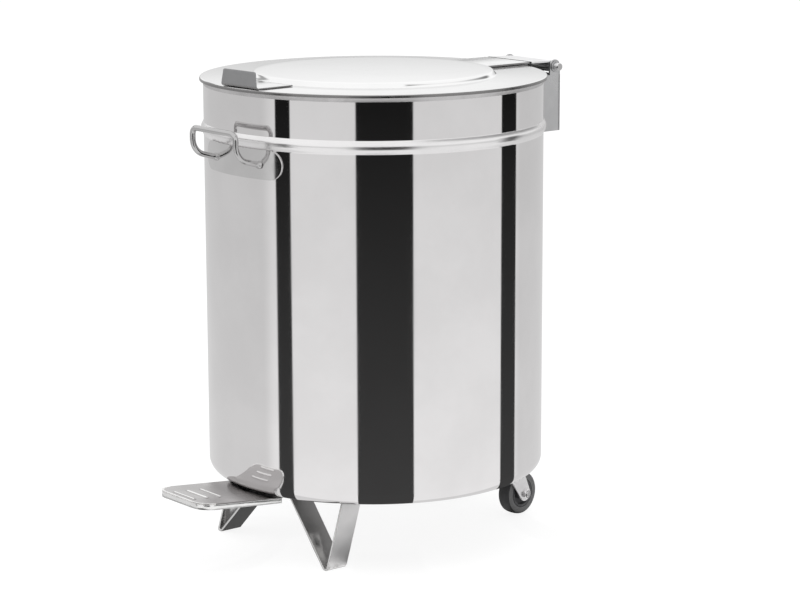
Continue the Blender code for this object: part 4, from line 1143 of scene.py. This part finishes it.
@dataclass
class Pedal:
    """The pressed pedal with its turned-down edge and ribs, and the pivot under the base."""

    drum: Drum
    pivot_y: float = -0.040
    pivot_z: float = 0.059558
    tilt: float = 5.4
    tip: float = 0.28948
    length: float = 0.130
    width: float = 0.112
    top: float = 0.0142
    sheet: float = 0.0016
    edge: float = 0.0085
    corner: float = 0.026
    edge_bend: float = 0.0024
    # Where the bright steel of wear and painted highlight goes.
    worn_margin: float = 0.0055
    worn_middle: float = 0.25
    worn_band: float = 0.3
    rib_count: int = 3
    rib_length: float = 0.050
    rib_reach: float = 0.0042
    rib_proud: float = 0.0016
    rib_pitch: float = 0.0205
    rib_start: float = 0.012
    lever_edge: float = 0.0008
    sleeve_radius: float = 0.007
    sleeve_length: float = 0.031
    pin_radius: float = 0.004
    pin_chamfer: float = 0.0005
    ring_sheet: float = 0.0012
    ring_flange: float = 0.0028
    ring_chamfer: float = 0.0003

    @property
    def pivot(self) -> Matrix:
        """The pivot in the frame of the CAD model."""
        return self.drum.place @ shift(0, self.pivot_y, self.pivot_z)

    @property
    def place(self) -> Matrix:
        """The pivot, tilted as the pedal stands."""
        return self.pivot @ Matrix.Rotation(-math.radians(self.tilt), 4, 'X')

    def tread(self) -> Array:
        """Return the grid of the pedal's top.

        The rows run from the back to the tip; a row's half width follows the rounded front corners. Ribs are
        raised cosines of the distance from their middle line.

        Returns:
            The grid, rows x columns x 3.
        """
        half, radius = self.width / 2 - self.edge_bend, self.corner - self.edge_bend
        tip, back = -self.tip + self.edge_bend, -self.tip + self.length
        turn = np.radians(np.linspace(0, 90, 25))[1:]
        straight = np.linspace(back, tip + radius, 120)
        rows = np.concatenate([straight, tip + radius * (1 - np.sin(turn))])
        reach = np.concatenate([np.full(len(straight), half), half - radius * (1 - np.cos(turn))])
        across = reach[:, None] * np.linspace(-1, 1, 81)[None, :]
        lying = np.broadcast_to(rows[:, None], across.shape)
        middles = -self.tip + self.rib_start + self.rib_pitch * np.arange(self.rib_count)
        past = np.maximum(np.abs(across) - self.rib_length / 2 + self.rib_reach, 0)
        gap = np.sqrt(past[..., None] ** 2 + (lying[..., None] - middles) ** 2)
        swell = np.where(gap < self.rib_reach, 0.5 + 0.5 * np.cos(math.pi * gap / self.rib_reach), 0)
        return np.stack([across, lying, self.top + self.rib_proud * swell.max(axis=-1)], axis=-1)

    def skin(self) -> Surface:
        """Join the tread and the edge that is carried along its outline and turned down from it.

        Returns:
            The pedal's outside.
        """
        tread = self.tread()
        outline = np.concatenate([tread[:, 0], tread[-1, 1:-1], tread[::-1, -1]])
        tangent = along(outline[:, :2])
        away = np.stack([tangent[:, 1], -tangent[:, 0]], axis=-1)
        turn = np.radians(np.linspace(0, 90, 9))
        reach = np.concatenate([self.edge_bend * np.sin(turn), [self.edge_bend]])
        drop = np.concatenate([self.edge_bend - self.edge_bend * np.cos(turn), [self.edge]])
        side = np.stack(np.broadcast_arrays(outline[:, None, 0] - away[:, None, 0] * reach,
                                            outline[:, None, 1] - away[:, None, 1] * reach, self.top - drop), axis=-1)
        return grid(tread).joined(grid(side))

    def worn(self, middle: Array, normal: Array) -> Array:
        """Return the faces that get bright steel, partly rubbed by feet and partly painted highlight: the ribs' tops,
        the front's margin and the turned-down edge.

        The margin's depth is measured from the front line, or from the arc at a rounded corner.

        Args:
            middle: The faces' middles.
            normal: Their normals.

        Returns:
            True for each face of wear and painted highlight.
        """
        place = np.array(self.place)
        local = (middle - place[:3, 3]) @ place[:3, :3]
        proud = local[:, 2] - self.top
        beyond = np.maximum(np.abs(local[:, 0]) - self.width / 2 + self.corner, 0)
        ahead = np.maximum(self.corner - self.tip - local[:, 1], 0)
        depth = self.corner - np.hypot(beyond, ahead)
        raised = np.abs(proud - self.rib_proud * self.worn_middle) > self.rib_proud * self.worn_band
        return raised | ((depth < self.worn_margin) & (ahead > 0))

    def build(self, shop: Workshop) -> None:
        """Press the pedal and turn the pivot's round pieces.

        Args:
            shop: Where the pieces are made.
        """
        # The bright trim is partly wear and partly painted highlight on the ribs and edges.
        item = shop.piece("pedal_tread", self.skin().placed(self.place), "pedal", ("pedal_plate",), PEDAL_STEEL, 60,
                          ((WEAR_HIGHLIGHT_STEEL, self.worn),))
        wall = item.modifiers.new("sheet", 'SOLIDIFY')
        wall.thickness = self.sheet
        wall.offset = -1
        shop.dress("pedal_lever", SATIN_STEEL, self.lever_edge)
        shop.dress("pivot_bracket", SATIN_STEEL)
        bore = self.pin_radius + SEAT_GAP
        sleeve = turned(self.sleeve_radius, self.sleeve_length / 2, self.pin_chamfer, bore, 48)
        shop.piece("pivot_bush", sleeve.placed(self.place @ ACROSS), "pedal", ("pivot_sleeve",), SATIN_STEEL)
        low, high = node_box("pivot_pin")
        pin = turned(self.pin_radius, (high[0] - low[0]) / 2, self.pin_chamfer)
        shop.piece("pivot_pin_round", pin.placed(self.pivot @ ACROSS), "frame", ("pivot_pin",), WIRE_STEEL)
        ring = turned(self.pin_radius + self.ring_flange, self.ring_sheet / 2, self.ring_chamfer, bore)
        for side in Side:
            low, high = node_box(f"pivot_ring_{side.word}")
            offset = shift((low[0] + high[0]) / 2, 0, 0)
            shop.piece(f"pivot_clip_{side.word}", ring.placed(self.pivot @ offset @ ACROSS), "frame",
                       (f"pivot_ring_{side.word}",), DARK_STEEL)


@dataclass
class FrontFeet:
    """The two front feet, each a strip bent to a V with rounded folds."""

    drum: Drum
    tip_x: float = 0.11745
    tip_y: float = -0.16225
    width: float = 0.0317
    sheet: float = 0.003
    edge: float = 0.0006
    bends: tuple[float, ...] = (0.004, 0.0024, 0.003, 0.004)
    flat: float = 0.007
    arm_cosine: float = 0.9
    outer_rear_lean: float = 0.30
    inner_rear_lean: float = 0.06
    inner_top: float = 0.029
    inner_flange: float = 0.015
    outer_flange: float = 0.022

    def build(self, shop: Workshop) -> None:
        """Bend both strips; each leg leans back by a share of its height.

        Args:
            shop: Where the pieces are made.
        """
        low = self.sheet / 2
        top = self.drum.base_z - SEAT_GAP - self.sheet / 2
        outer, inner = self.tip_x + self.flat / 2, self.tip_x - self.flat / 2
        corners = np.array([(outer - self.outer_flange, top), (outer, top), (outer, low), (inner, low),
                            (self.inner_top, top), (self.inner_top - self.inner_flange, top)])
        path = rounded(corners, np.array(self.bends), 11)
        legs = strip(path, self.width / 2, self.sheet, self.edge)
        across, lying, height = legs.points.T
        first_half = np.arange(len(height)) < len(height) / 2
        lean = np.where(first_half, self.outer_rear_lean, self.inner_rear_lean)
        for side in Side:
            points = np.stack([side.value * lying, self.tip_y + across + lean * (height - low), height], axis=-1)
            foot = Surface(points, legs.faces).placed(self.drum.place)
            # Painted light: the outward faces get the paler satin steel.
            arm = (ARM_LIT_SATIN, partial(self.outer_face, side))
            shop.piece(f"foot_strip_{side.word}", foot, "frame", (f"front_foot_{side.word}",), FOOT_STEEL, trims=(arm,))

    def outer_face(self, side: Side, middle: Array, normal: Array) -> Array:
        """Return which faces look straight away from the bin on a side; these get a paler satin steel as painted light.
        """
        return normal[:, 0] * side.value > self.arm_cosine


@dataclass
class Caster:
    """One swivel caster: plate, king pin, race, fork, axle, nuts and wheel."""

    side: Side
    swivel: Pair
    turn: float = 7.7
    trail: float = 0.023
    wheel_radius: float = 0.030
    wheel_width: float = 0.020
    tyre_depth: float = 0.0105
    tyre_lip: float = 0.0006
    tread_crown: float = 0.0022
    shoulder: float = 0.0036
    side_cosine: float = 0.8
    boss_radius: float = 0.0085
    boss_proud: float = 0.0025
    web_half: float = 0.0035
    hub_wall: float = 0.003
    hub_bends: tuple[float, ...] = (0.0008, 0.0012, 0.0012, 0.0008)
    plate_radius: float = 0.022
    plate_chamfer: float = 0.0006
    race_radius: float = 0.0175
    race_height: float = 0.0095
    race_chamfer: float = 0.0012
    groove: float = 0.0024
    king_radius: float = 0.004
    head_radius: float = 0.007
    head_height: float = 0.003
    fork_gap: float = 0.003
    fork_sheet: float = 0.0022
    fork_edge: float = 0.0006
    axle_radius: float = 0.004
    axle_chamfer: float = 0.0007
    axle_end: float = 0.001
    nut_radius: float = 0.0065
    nut_height: float = 0.0045
    nut_face: float = 0.97
    nut_slope: float = 30.0

    @property
    def place(self) -> Matrix:
        """The swivel's axis, turned as the caster stands."""
        return shift(*self.swivel, 0) @ Matrix.Rotation(math.radians(self.turn), 4, 'Z')

    @property
    def axle_place(self) -> Matrix:
        """The axle's middle, with Z along the axle."""
        return self.place @ shift(0, self.trail, self.wheel_radius) @ ACROSS

    def tyre_profile(self) -> Array:
        """Lay the tyre's section: a tread that drops by crown s^2 + shoulder s^9 towards its flat sides.

        Returns:
            Array of (radius, height).
        """
        half, seat, lip = self.wheel_width / 2, self.wheel_radius - self.tyre_depth, self.tyre_lip
        share = np.linspace(-1, 1, 33)
        width = half * np.sign(share) * (1 - (1 - np.abs(share)) ** 1.6)
        crown = self.wheel_radius - self.tread_crown * np.abs(share) ** 2 - self.shoulder * np.abs(share) ** 9
        tread = np.stack([crown, width], axis=-1)
        return np.vstack([[(seat, -half + lip), (seat + lip, -half)], tread, [(seat + lip, half), (seat, half - lip)]])

    def hub_profile(self) -> Array:
        """Lay the hub's section: boss, web and rim with soft corners.

        Returns:
            Array of (radius, height).
        """
        half, boss_half = self.wheel_width / 2, self.wheel_width / 2 + self.boss_proud
        rim = self.wheel_radius - self.tyre_depth - SEAT_GAP
        wall = rim - self.hub_wall
        corners = np.array([(self.axle_radius + SEAT_GAP, boss_half), (self.boss_radius, boss_half),
                            (self.boss_radius, self.web_half), (wall, self.web_half), (wall, half), (rim, half)])
        side = rounded(corners, np.array(self.hub_bends), 6)
        return np.vstack([side, side[::-1] * (1, -1)])

    def race_profile(self) -> Array:
        """Lay the race's section: a ring with chamfered edges and a round groove.

        Returns:
            Array of (radius, height).
        """
        bore, flat, end = self.king_radius + SEAT_GAP, self.race_radius - self.race_chamfer, self.race_height
        groove = arc((self.race_radius, end / 2), self.groove / 2, -90, -270, 9)
        return np.vstack([[(bore, 0), (flat, 0), (self.race_radius, self.race_chamfer)], groove,
                          [(self.race_radius, end - self.race_chamfer), (flat, end), (bore, end)]])

    def rivet_profile(self, tall: float) -> Array:
        """Return the king pin's section: a domed head below a plain shank.

        Args:
            tall: The pin's whole height.

        Returns:
            Array of (radius, height).
        """
        turn = np.linspace(0, 1, 9) * math.pi / 2
        head = np.stack([self.head_radius * np.sin(turn), self.head_height * (1 - np.cos(turn))], axis=-1)
        return np.vstack([head, [(self.king_radius, self.head_height), (self.king_radius, tall), (0, tall)]])

    def nut(self) -> Surface:
        """Return a six-sided nut with chamfered corners.

        A side's radius is apothem / cos a; where it passes the chamfer's circle, the edge drops by the slope.

        Returns:
            The nut, along Z and centred.
        """
        angle = np.linspace(0, math.tau, 96, endpoint=False)
        apothem = self.nut_radius * math.cos(math.pi / 6)
        hexagon = apothem / np.cos(np.mod(angle, math.pi / 3) - math.pi / 6)
        circle = np.full_like(angle, apothem * self.nut_face)
        bore = np.full_like(angle, self.axle_radius + SEAT_GAP)
        half = self.nut_height / 2
        edge = half - (hexagon - circle) * math.tan(math.radians(self.nut_slope))
        level = np.full_like(angle, half)
        radius = np.stack([bore, circle, hexagon, hexagon, circle, bore], axis=1)
        height = np.stack([-level, -level, -edge, edge, level, level], axis=1)
        points = np.stack([radius * np.cos(angle)[:, None], radius * np.sin(angle)[:, None], height], axis=-1)
        return grid(points, wrap_rows=True, wrap_columns=True)

    def build(self, shop: Workshop) -> None:
        """Turn the round pieces, make the nuts and dress the fork.

        Args:
            shop: Where the pieces are made.
        """
        word = self.side.word
        low, high = node_box(f"caster_plate_{word}")
        half = (high[2] - low[2]) / 2
        plate = turned(self.plate_radius, half, self.plate_chamfer, steps=72)
        plate = plate.placed(self.place @ shift(0, 0, low[2] + half))
        shop.piece(f"top_plate_{word}", plate, "frame", (f"caster_plate_{word}",), ZINC_STEEL)
        low, high = node_box(f"king_pin_{word}")
        rivet = lathe(self.rivet_profile(high[2] - low[2])).placed(self.place @ shift(0, 0, low[2]))
        shop.piece(f"king_rivet_{word}", rivet, "frame", (f"king_pin_{word}",), ZINC_STEEL)
        base = node_box(f"swivel_race_{word}")[0][2]
        race = lathe(self.race_profile(), 72, closed=True).placed(self.place @ shift(0, 0, base))
        shop.piece(f"swivel_ring_{word}", race, f"caster_{word}", (f"swivel_race_{word}",), ZINC_STEEL)
        shop.dress(f"caster_fork_{word}", FORK_STEEL, self.fork_edge)
        self.build_wheel(shop, word)
        self.build_axle(shop, word)

    def build_wheel(self, shop: Workshop, word: str) -> None:
        """Turn the tyre, with duller sides, and the hub.

        Args:
            shop: Where the pieces are made.
            word: The side's word.
        """
        body, axle = f"wheel_{word}", np.array(self.axle_place)[:3, 2]
        side = (TYRE_SIDE, lambda middle, normal: np.abs(normal @ axle) > self.side_cosine)
        tyre = lathe(self.tyre_profile(), 144, closed=True).placed(self.axle_place)
        shop.piece(f"tyre_tread_{word}", tyre, body, (f"tyre_{word}",), TYRE_RUBBER, trims=(side,))
        hub = lathe(self.hub_profile(), 96, closed=True).placed(self.axle_place)
        shop.piece(f"hub_moulding_{word}", hub, body, (f"wheel_hub_{word}",), HUB_PLASTIC)

    def build_axle(self, shop: Workshop, word: str) -> None:
        """Turn the axle and set a nut on each of its ends.

        Args:
            shop: Where the pieces are made.
            word: The side's word.
        """
        body = f"caster_{word}"
        seat = self.wheel_width / 2 + self.fork_gap + self.fork_sheet + SEAT_GAP
        axle = turned(self.axle_radius, seat + self.nut_height + self.axle_end, self.axle_chamfer)
        shop.piece(f"axle_bolt_{word}", axle.placed(self.axle_place), body, (f"axle_{word}",), ZINC_STEEL)
        for place, sign in (("inner", -self.side.value), ("outer", self.side.value)):
            nut = self.nut().placed(self.axle_place @ shift(0, 0, sign * (seat + self.nut_height / 2)))
            shop.piece(f"hex_nut_{place}_{word}", nut, body, (f"axle_nut_{place}_{word}",), ZINC_STEEL, 25)


@dataclass(frozen=True)
class Card:
    """A card beside the studio light, seen only in polished metal.

    Angles are in degrees: round from the camera's side, positive to its right, and up from level. A drooping card
    sinks by that share of the angle round from its start.
    """

    start: float
    end: float
    low: float
    high: float
    tones: Pair
    soft: float = 0.6
    droop: float = 0.0

    def mask(self, desk: NodeDesk, angle: Socket, lift: Socket) -> Socket:
        """Return 1 inside the card and 0 outside it.

        Args:
            desk: A desk on the world.
            angle: The ray's angle round from the camera's side.
            lift: Its angle up from level.

        Returns:
            The mask.
        """
        if self.droop:
            lift = desk.math('ADD', lift, desk.math('MULTIPLY', desk.math('SUBTRACT', angle, self.start), self.droop))
        inside = []
        for value, low, high in ((angle, self.start, self.end), (lift, self.low, self.high)):
            rise = desk.spread(value, low - self.soft, low + self.soft, smooth=True)
            fall = desk.spread(value, high - self.soft, high + self.soft, 1.0, 0.0, smooth=True)
            inside.append(desk.math('MULTIPLY', rise, fall))
        return desk.math('MULTIPLY', *inside)


@dataclass
class Studio:
    """Pale floor, soft light, the room that polished metal mirrors, and the camera.

    The camera's place and aim are measured from the drum's axis. Tones come in pairs: below and near level, and
    for the floor unseen and seen. An edge patch has its first tilt, its last tilt and its depth below the floor.
    """

    drum: Drum
    camera_place: Triple = (2.6736, -2.126683, 1.0075)
    camera_aim: Triple = (0.0212, 0.026617, 0.3155)
    focal_pixels: float = 2591.8
    roll: float = -0.19
    image_width: int = 800
    sensor: float = 36.0
    azimuth: float = 51.5
    stripe: Pair = (0.055, 0.010)
    stripe_sides: tuple[Pair, ...] = ((-69, -57.5), (-12, 26), (95, 111))
    stripe_heights: Pair = (-17.6, 14)
    room: Pair = (0.98, 0.77)
    side_tones: Pair = (0.77, 0.65)
    level_band: Pair = (-16, -7)
    sky: float = 1.06
    sky_band: Pair = (2, 12)
    fill: float = 0.62
    floor_half: float = 9.0
    floor_z: float = -0.0004
    floor_glow: float = 0.87
    floor_tones: Pair = (0.85, 0.2)
    floor_roughness: float = 0.9
    shade_disc: Triple = (-0.09, -0.125, 0.06)
    shade_tone: float = 0.10
    shade_lift: Pair = (0.8, 0.1)
    edge_facing: Pair = (-60, 70)
    edge_patches: tuple[Triple, ...] = ((0.2, 10.2, 12.0), (10.0, 60.0, 0.0))
    lamps: tuple[tuple[str, Triple, float, float], ...] = (
        ("top_softbox", (0.2, -0.3, 2.6), 2.6, 26), ("left_softbox", (-1.6, -2.2, 1.7), 1.6, 14))
    lamp_aim: Triple = (0, 0, 0.3)

    @property
    def ahead(self) -> Array:
        """The level direction from the drum to the camera's side."""
        turn = math.radians(self.azimuth)
        return np.array([math.sin(turn), -math.cos(turn), 0])

    @property
    def right(self) -> Array:
        """The level direction to the right of the camera's side."""
        turn = math.radians(self.azimuth)
        return np.array([math.cos(turn), math.sin(turn), 0])

    def cards(self) -> tuple[Card, ...]:
        """List the cards: dimmer sides, three dark stripes, and shades above and behind.

        Returns:
            The cards.
        """
        stripes = (Card(*sides, *self.stripe_heights, self.stripe) for sides in self.stripe_sides)
        return (Card(-190, -76, -90, 2, self.side_tones, 6), Card(112, 190, -90, 2, self.side_tones, 6), *stripes,
                Card(46, 146, 50, 61, (0.24, 0.24), 4, 0.41), Card(-165, -120, 16, 24, (0.4, 0.4), 3))

    def build(self) -> None:
        """Make the room, the floor, the lamps and the camera."""
        self.make_room()
        self.make_floor()
        self.make_lamps()
        self.make_camera()

    def make_room(self) -> None:
        """Fill the world: white to the camera, even light to matt surfaces, and cards and softboxes to metal."""
        world = bpy.data.worlds.new("studio_room")
        bpy.context.scene.world = world
        world.use_nodes = True
        desk = NodeDesk(world.node_tree)
        look = desk.add("ShaderNodeTexCoord").outputs["Generated"]
        ahead, right, up = (desk.vector('DOT_PRODUCT', "Value", look, tuple(axis))
                            for axis in (self.ahead, self.right, (0, 0, 1)))
        angle = desk.math('DEGREES', desk.math('ARCTAN2', right, ahead))
        lift = desk.math('DEGREES', desk.math('ARCSINE', up))
        slope = desk.spread(lift, *self.level_band)
        mirrored = desk.spread(slope, 0.0, 1.0, *self.room)
        sky = desk.spread(lift, *self.sky_band, smooth=True)
        mirrored = desk.math('ADD', mirrored, desk.math('MULTIPLY', sky, self.sky - self.room[1]))
        for card in self.cards():
            tone = desk.spread(slope, 0.0, 1.0, *card.tones)
            share = card.mask(desk, angle, lift)
            kept = desk.math('MULTIPLY', mirrored, desk.math('SUBTRACT', 1.0, share))
            mirrored = desk.math('ADD', kept, desk.math('MULTIPLY', tone, share))
        path = desk.add("ShaderNodeLightPath")
        seen = desk.spread(path.outputs["Is Glossy Ray"], 0.0, 1.0, self.fill, mirrored)
        seen = desk.spread(path.outputs["Is Camera Ray"], 0.0, 1.0, seen, 1.0)
        desk.feed(world.node_tree.nodes["Background"].inputs["Color"], seen)

    @staticmethod
    def lay(mesh: Mesh) -> tuple[Object, Node, NodeDesk]:
        """Lay a mesh in the scene with a paint of its own.

        Args:
            mesh: The mesh.

        Returns:
            The object, its paint's shader and a desk on the paint.
        """
        item = bpy.data.objects.new(mesh.name, mesh)
        bpy.context.scene.collection.objects.link(item)
        paint = bpy.data.materials.new(f"{mesh.name}_paint")
        paint.use_nodes = True
        mesh.materials.append(paint)
        shader = paint.node_tree.nodes["Principled BSDF"]
        shader.inputs["Emission Color"].default_value = (1, 1, 1, 1)
        return item, shader, NodeDesk(paint.node_tree)

    def make_floor(self) -> None:
        """Lay the pale floor, and the dark patches below the bin that polished metal mirrors."""
        mesh = bpy.data.meshes.new("floor")
        half = self.floor_half
        mesh.from_pydata([(-half, -half, 0), (half, -half, 0), (half, half, 0), (-half, half, 0)], [], [(0, 1, 2, 3)])
        floor, shader, desk = self.lay(mesh)
        floor.location.z = self.floor_z
        floor.visible_glossy = False
        shader.inputs["Roughness"].default_value = self.floor_roughness
        eye = desk.add("ShaderNodeLightPath").outputs["Is Camera Ray"]
        unseen, seen = ((tone, tone, tone, 1) for tone in self.floor_tones)
        desk.feed(shader.inputs["Base Color"], desk.mix(eye, unseen, seen))
        desk.feed(shader.inputs["Emission Strength"], desk.math('MULTIPLY', eye, self.floor_glow))
        shades = [self.make_shade(index, *shade) for index, shade in enumerate(self.shades())]

    def shades(self) -> list[tuple[Array, float]]:
        """Return the dark patches, measured from the drum's axis, with their tones.

        One is a disc behind the left foot: centre + r (cos a, sin a). The others carry the dark stripes on down the
        drum's rounded edge: each is what the edge mirrors to the camera between the stripe's sides, on the floor or,
        where the edge is steep, far below it.

        Returns:
            Each patch's grid of points and its tone.
        """
        x, y, radius = self.shade_disc
        angle, reach = np.meshgrid(np.linspace(0, math.tau, 65), np.array([0.0, radius]))
        disc = np.stack([reach * np.cos(angle) + x, reach * np.sin(angle) + y, np.zeros_like(angle)], axis=-1)
        patches = [(disc, self.shade_tone)]
        facing = np.radians(np.linspace(*self.edge_facing, 261))
        rays = self.mirrored(facing, np.zeros(1))[1][0]
        course = np.degrees(np.arctan2(rays @ self.right, rays @ self.ahead))
        for sides in self.stripe_sides:
            span = np.linspace(*np.interp(sides, course, facing), 9)
            for first, last, depth in self.edge_patches:
                start, ray = self.mirrored(span, np.radians(np.linspace(first, last, 45)))
                patches.append((start - ray * ((start[..., 2:] + depth) / ray[..., 2:]), self.stripe[0]))
        return patches

    def mirrored(self, facing: Array, tilt: Array) -> tuple[Array, Array]:
        """Return points on the drum's rounded lower edge and the rays that they mirror from the camera.

        With the view v and the outward normal n, the ray is v - 2 (v . n) n.

        Args:
            facing: Angles round the drum from the camera's side.
            tilt: Angles down round the edge from level.

        Returns:
            The points and the rays, a row for each tilt and a column for each facing.
        """
        down, round_drum = np.meshgrid(tilt, facing + math.radians(self.azimuth), indexing='ij')
        out = np.stack([np.sin(round_drum), -np.cos(round_drum), np.zeros_like(down)], axis=-1)
        up = np.array([0.0, 0.0, 1.0])
        normal = out * np.cos(down)[..., None] - up * np.sin(down)[..., None]
        edge = self.drum.edge_radius
        points = out * (self.drum.radius - edge) + up * (self.drum.base_z + edge) + normal * edge
        view = unit(points - np.array(self.camera_place))
        return points, view - 2 * (view * normal).sum(axis=-1, keepdims=True) * normal

    def make_shade(self, index: int, patch: Array, tone: float) -> Object:
        """Lay one dark patch just over the floor, seen only in polished metal.

        Args:
            index: The patch's number; each lies a little higher than the one before.
            patch: Its grid of points, measured from the drum's axis.
            tone: Its brightness.

        Returns:
            The patch.
        """
        surface = grid(patch + (0, self.drum.axis_y, 0))
        shade, shader, _ = self.lay(surface.mesh(f"under_shade_{index}"))
        shade.location.z = self.floor_z * (self.shade_lift[0] - self.shade_lift[1] * index)
        shade.visible_camera = shade.visible_diffuse = shade.visible_shadow = False
        shader.inputs["Base Color"].default_value = (0, 0, 0, 1)
        shader.inputs["Specular IOR Level"].default_value = 0
        shader.inputs["Emission Strength"].default_value = tone
        return shade

    def make_lamps(self) -> None:
        """Hang a wide soft lamp over the bin and a weaker one at the camera's left."""
        for name, place, size, power in self.lamps:
            lamp = bpy.data.lights.new(name, 'AREA')
            lamp.shape = 'SQUARE'
            lamp.size = size
            lamp.energy = power
            item = bpy.data.objects.new(name, lamp)
            bpy.context.scene.collection.objects.link(item)
            item.location = place
            item.rotation_euler = (Vector(self.lamp_aim) - Vector(place)).to_track_quat('-Z', 'Y').to_euler()
            item.visible_glossy = False

    def make_camera(self) -> None:
        """Set the camera where the photograph was taken from."""
        camera = bpy.data.cameras.new("camera")
        camera.sensor_fit = 'HORIZONTAL'
        camera.sensor_width = self.sensor
        camera.lens = self.focal_pixels * self.sensor / self.image_width
        camera.clip_end = 100
        item = bpy.data.objects.new("camera", camera)
        bpy.context.scene.collection.objects.link(item)
        place = Vector(self.camera_place) + Vector((0, self.drum.axis_y, 0))
        ahead = (Vector(self.camera_aim) + Vector((0, self.drum.axis_y, 0)) - place).normalized()
        right = ahead.cross(Vector((0, 0, 1))).normalized()
        up = right.cross(ahead)
        roll = math.radians(self.roll)
        right, up = right * math.cos(roll) + up * math.sin(roll), up * math.cos(roll) - right * math.sin(roll)
        item.matrix_world = Matrix((right, up, -ahead)).transposed().to_4x4()
        item.location = place
        bpy.context.scene.camera = item


def main() -> None:
    """Build the bin's looks, the studio and the camera."""
    logging.basicConfig(level=logging.INFO, format="%(name)s: %(message)s")
    bpy.context.scene.view_settings.view_transform = 'Standard'
    shop = Workshop()
    low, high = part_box("drum_wall")
    drum = Drum(axis_y=(low[1] + high[1]) / 2)
    lid = Lid(drum)
    joints = {joint["name"]: joint for joint in FRAME["joints"]}
    casters = [Caster(side, tuple(joints[f"caster_{side.word}_swivel"]["pos_m"][:2])) for side in Side]
    for assembly in (drum, Handle(drum), lid, Hinge(drum, lid), PushRod(drum), Pedal(drum), FrontFeet(drum), *casters):
        assembly.build(shop)
    bare = set(FRAME["nodes"]) - shop.replaced
    LOG.info("CAD nodes that stay: %s", ", ".join(sorted(bare)))
    Studio(drum).build()


if __name__ == "__main__":
    main()
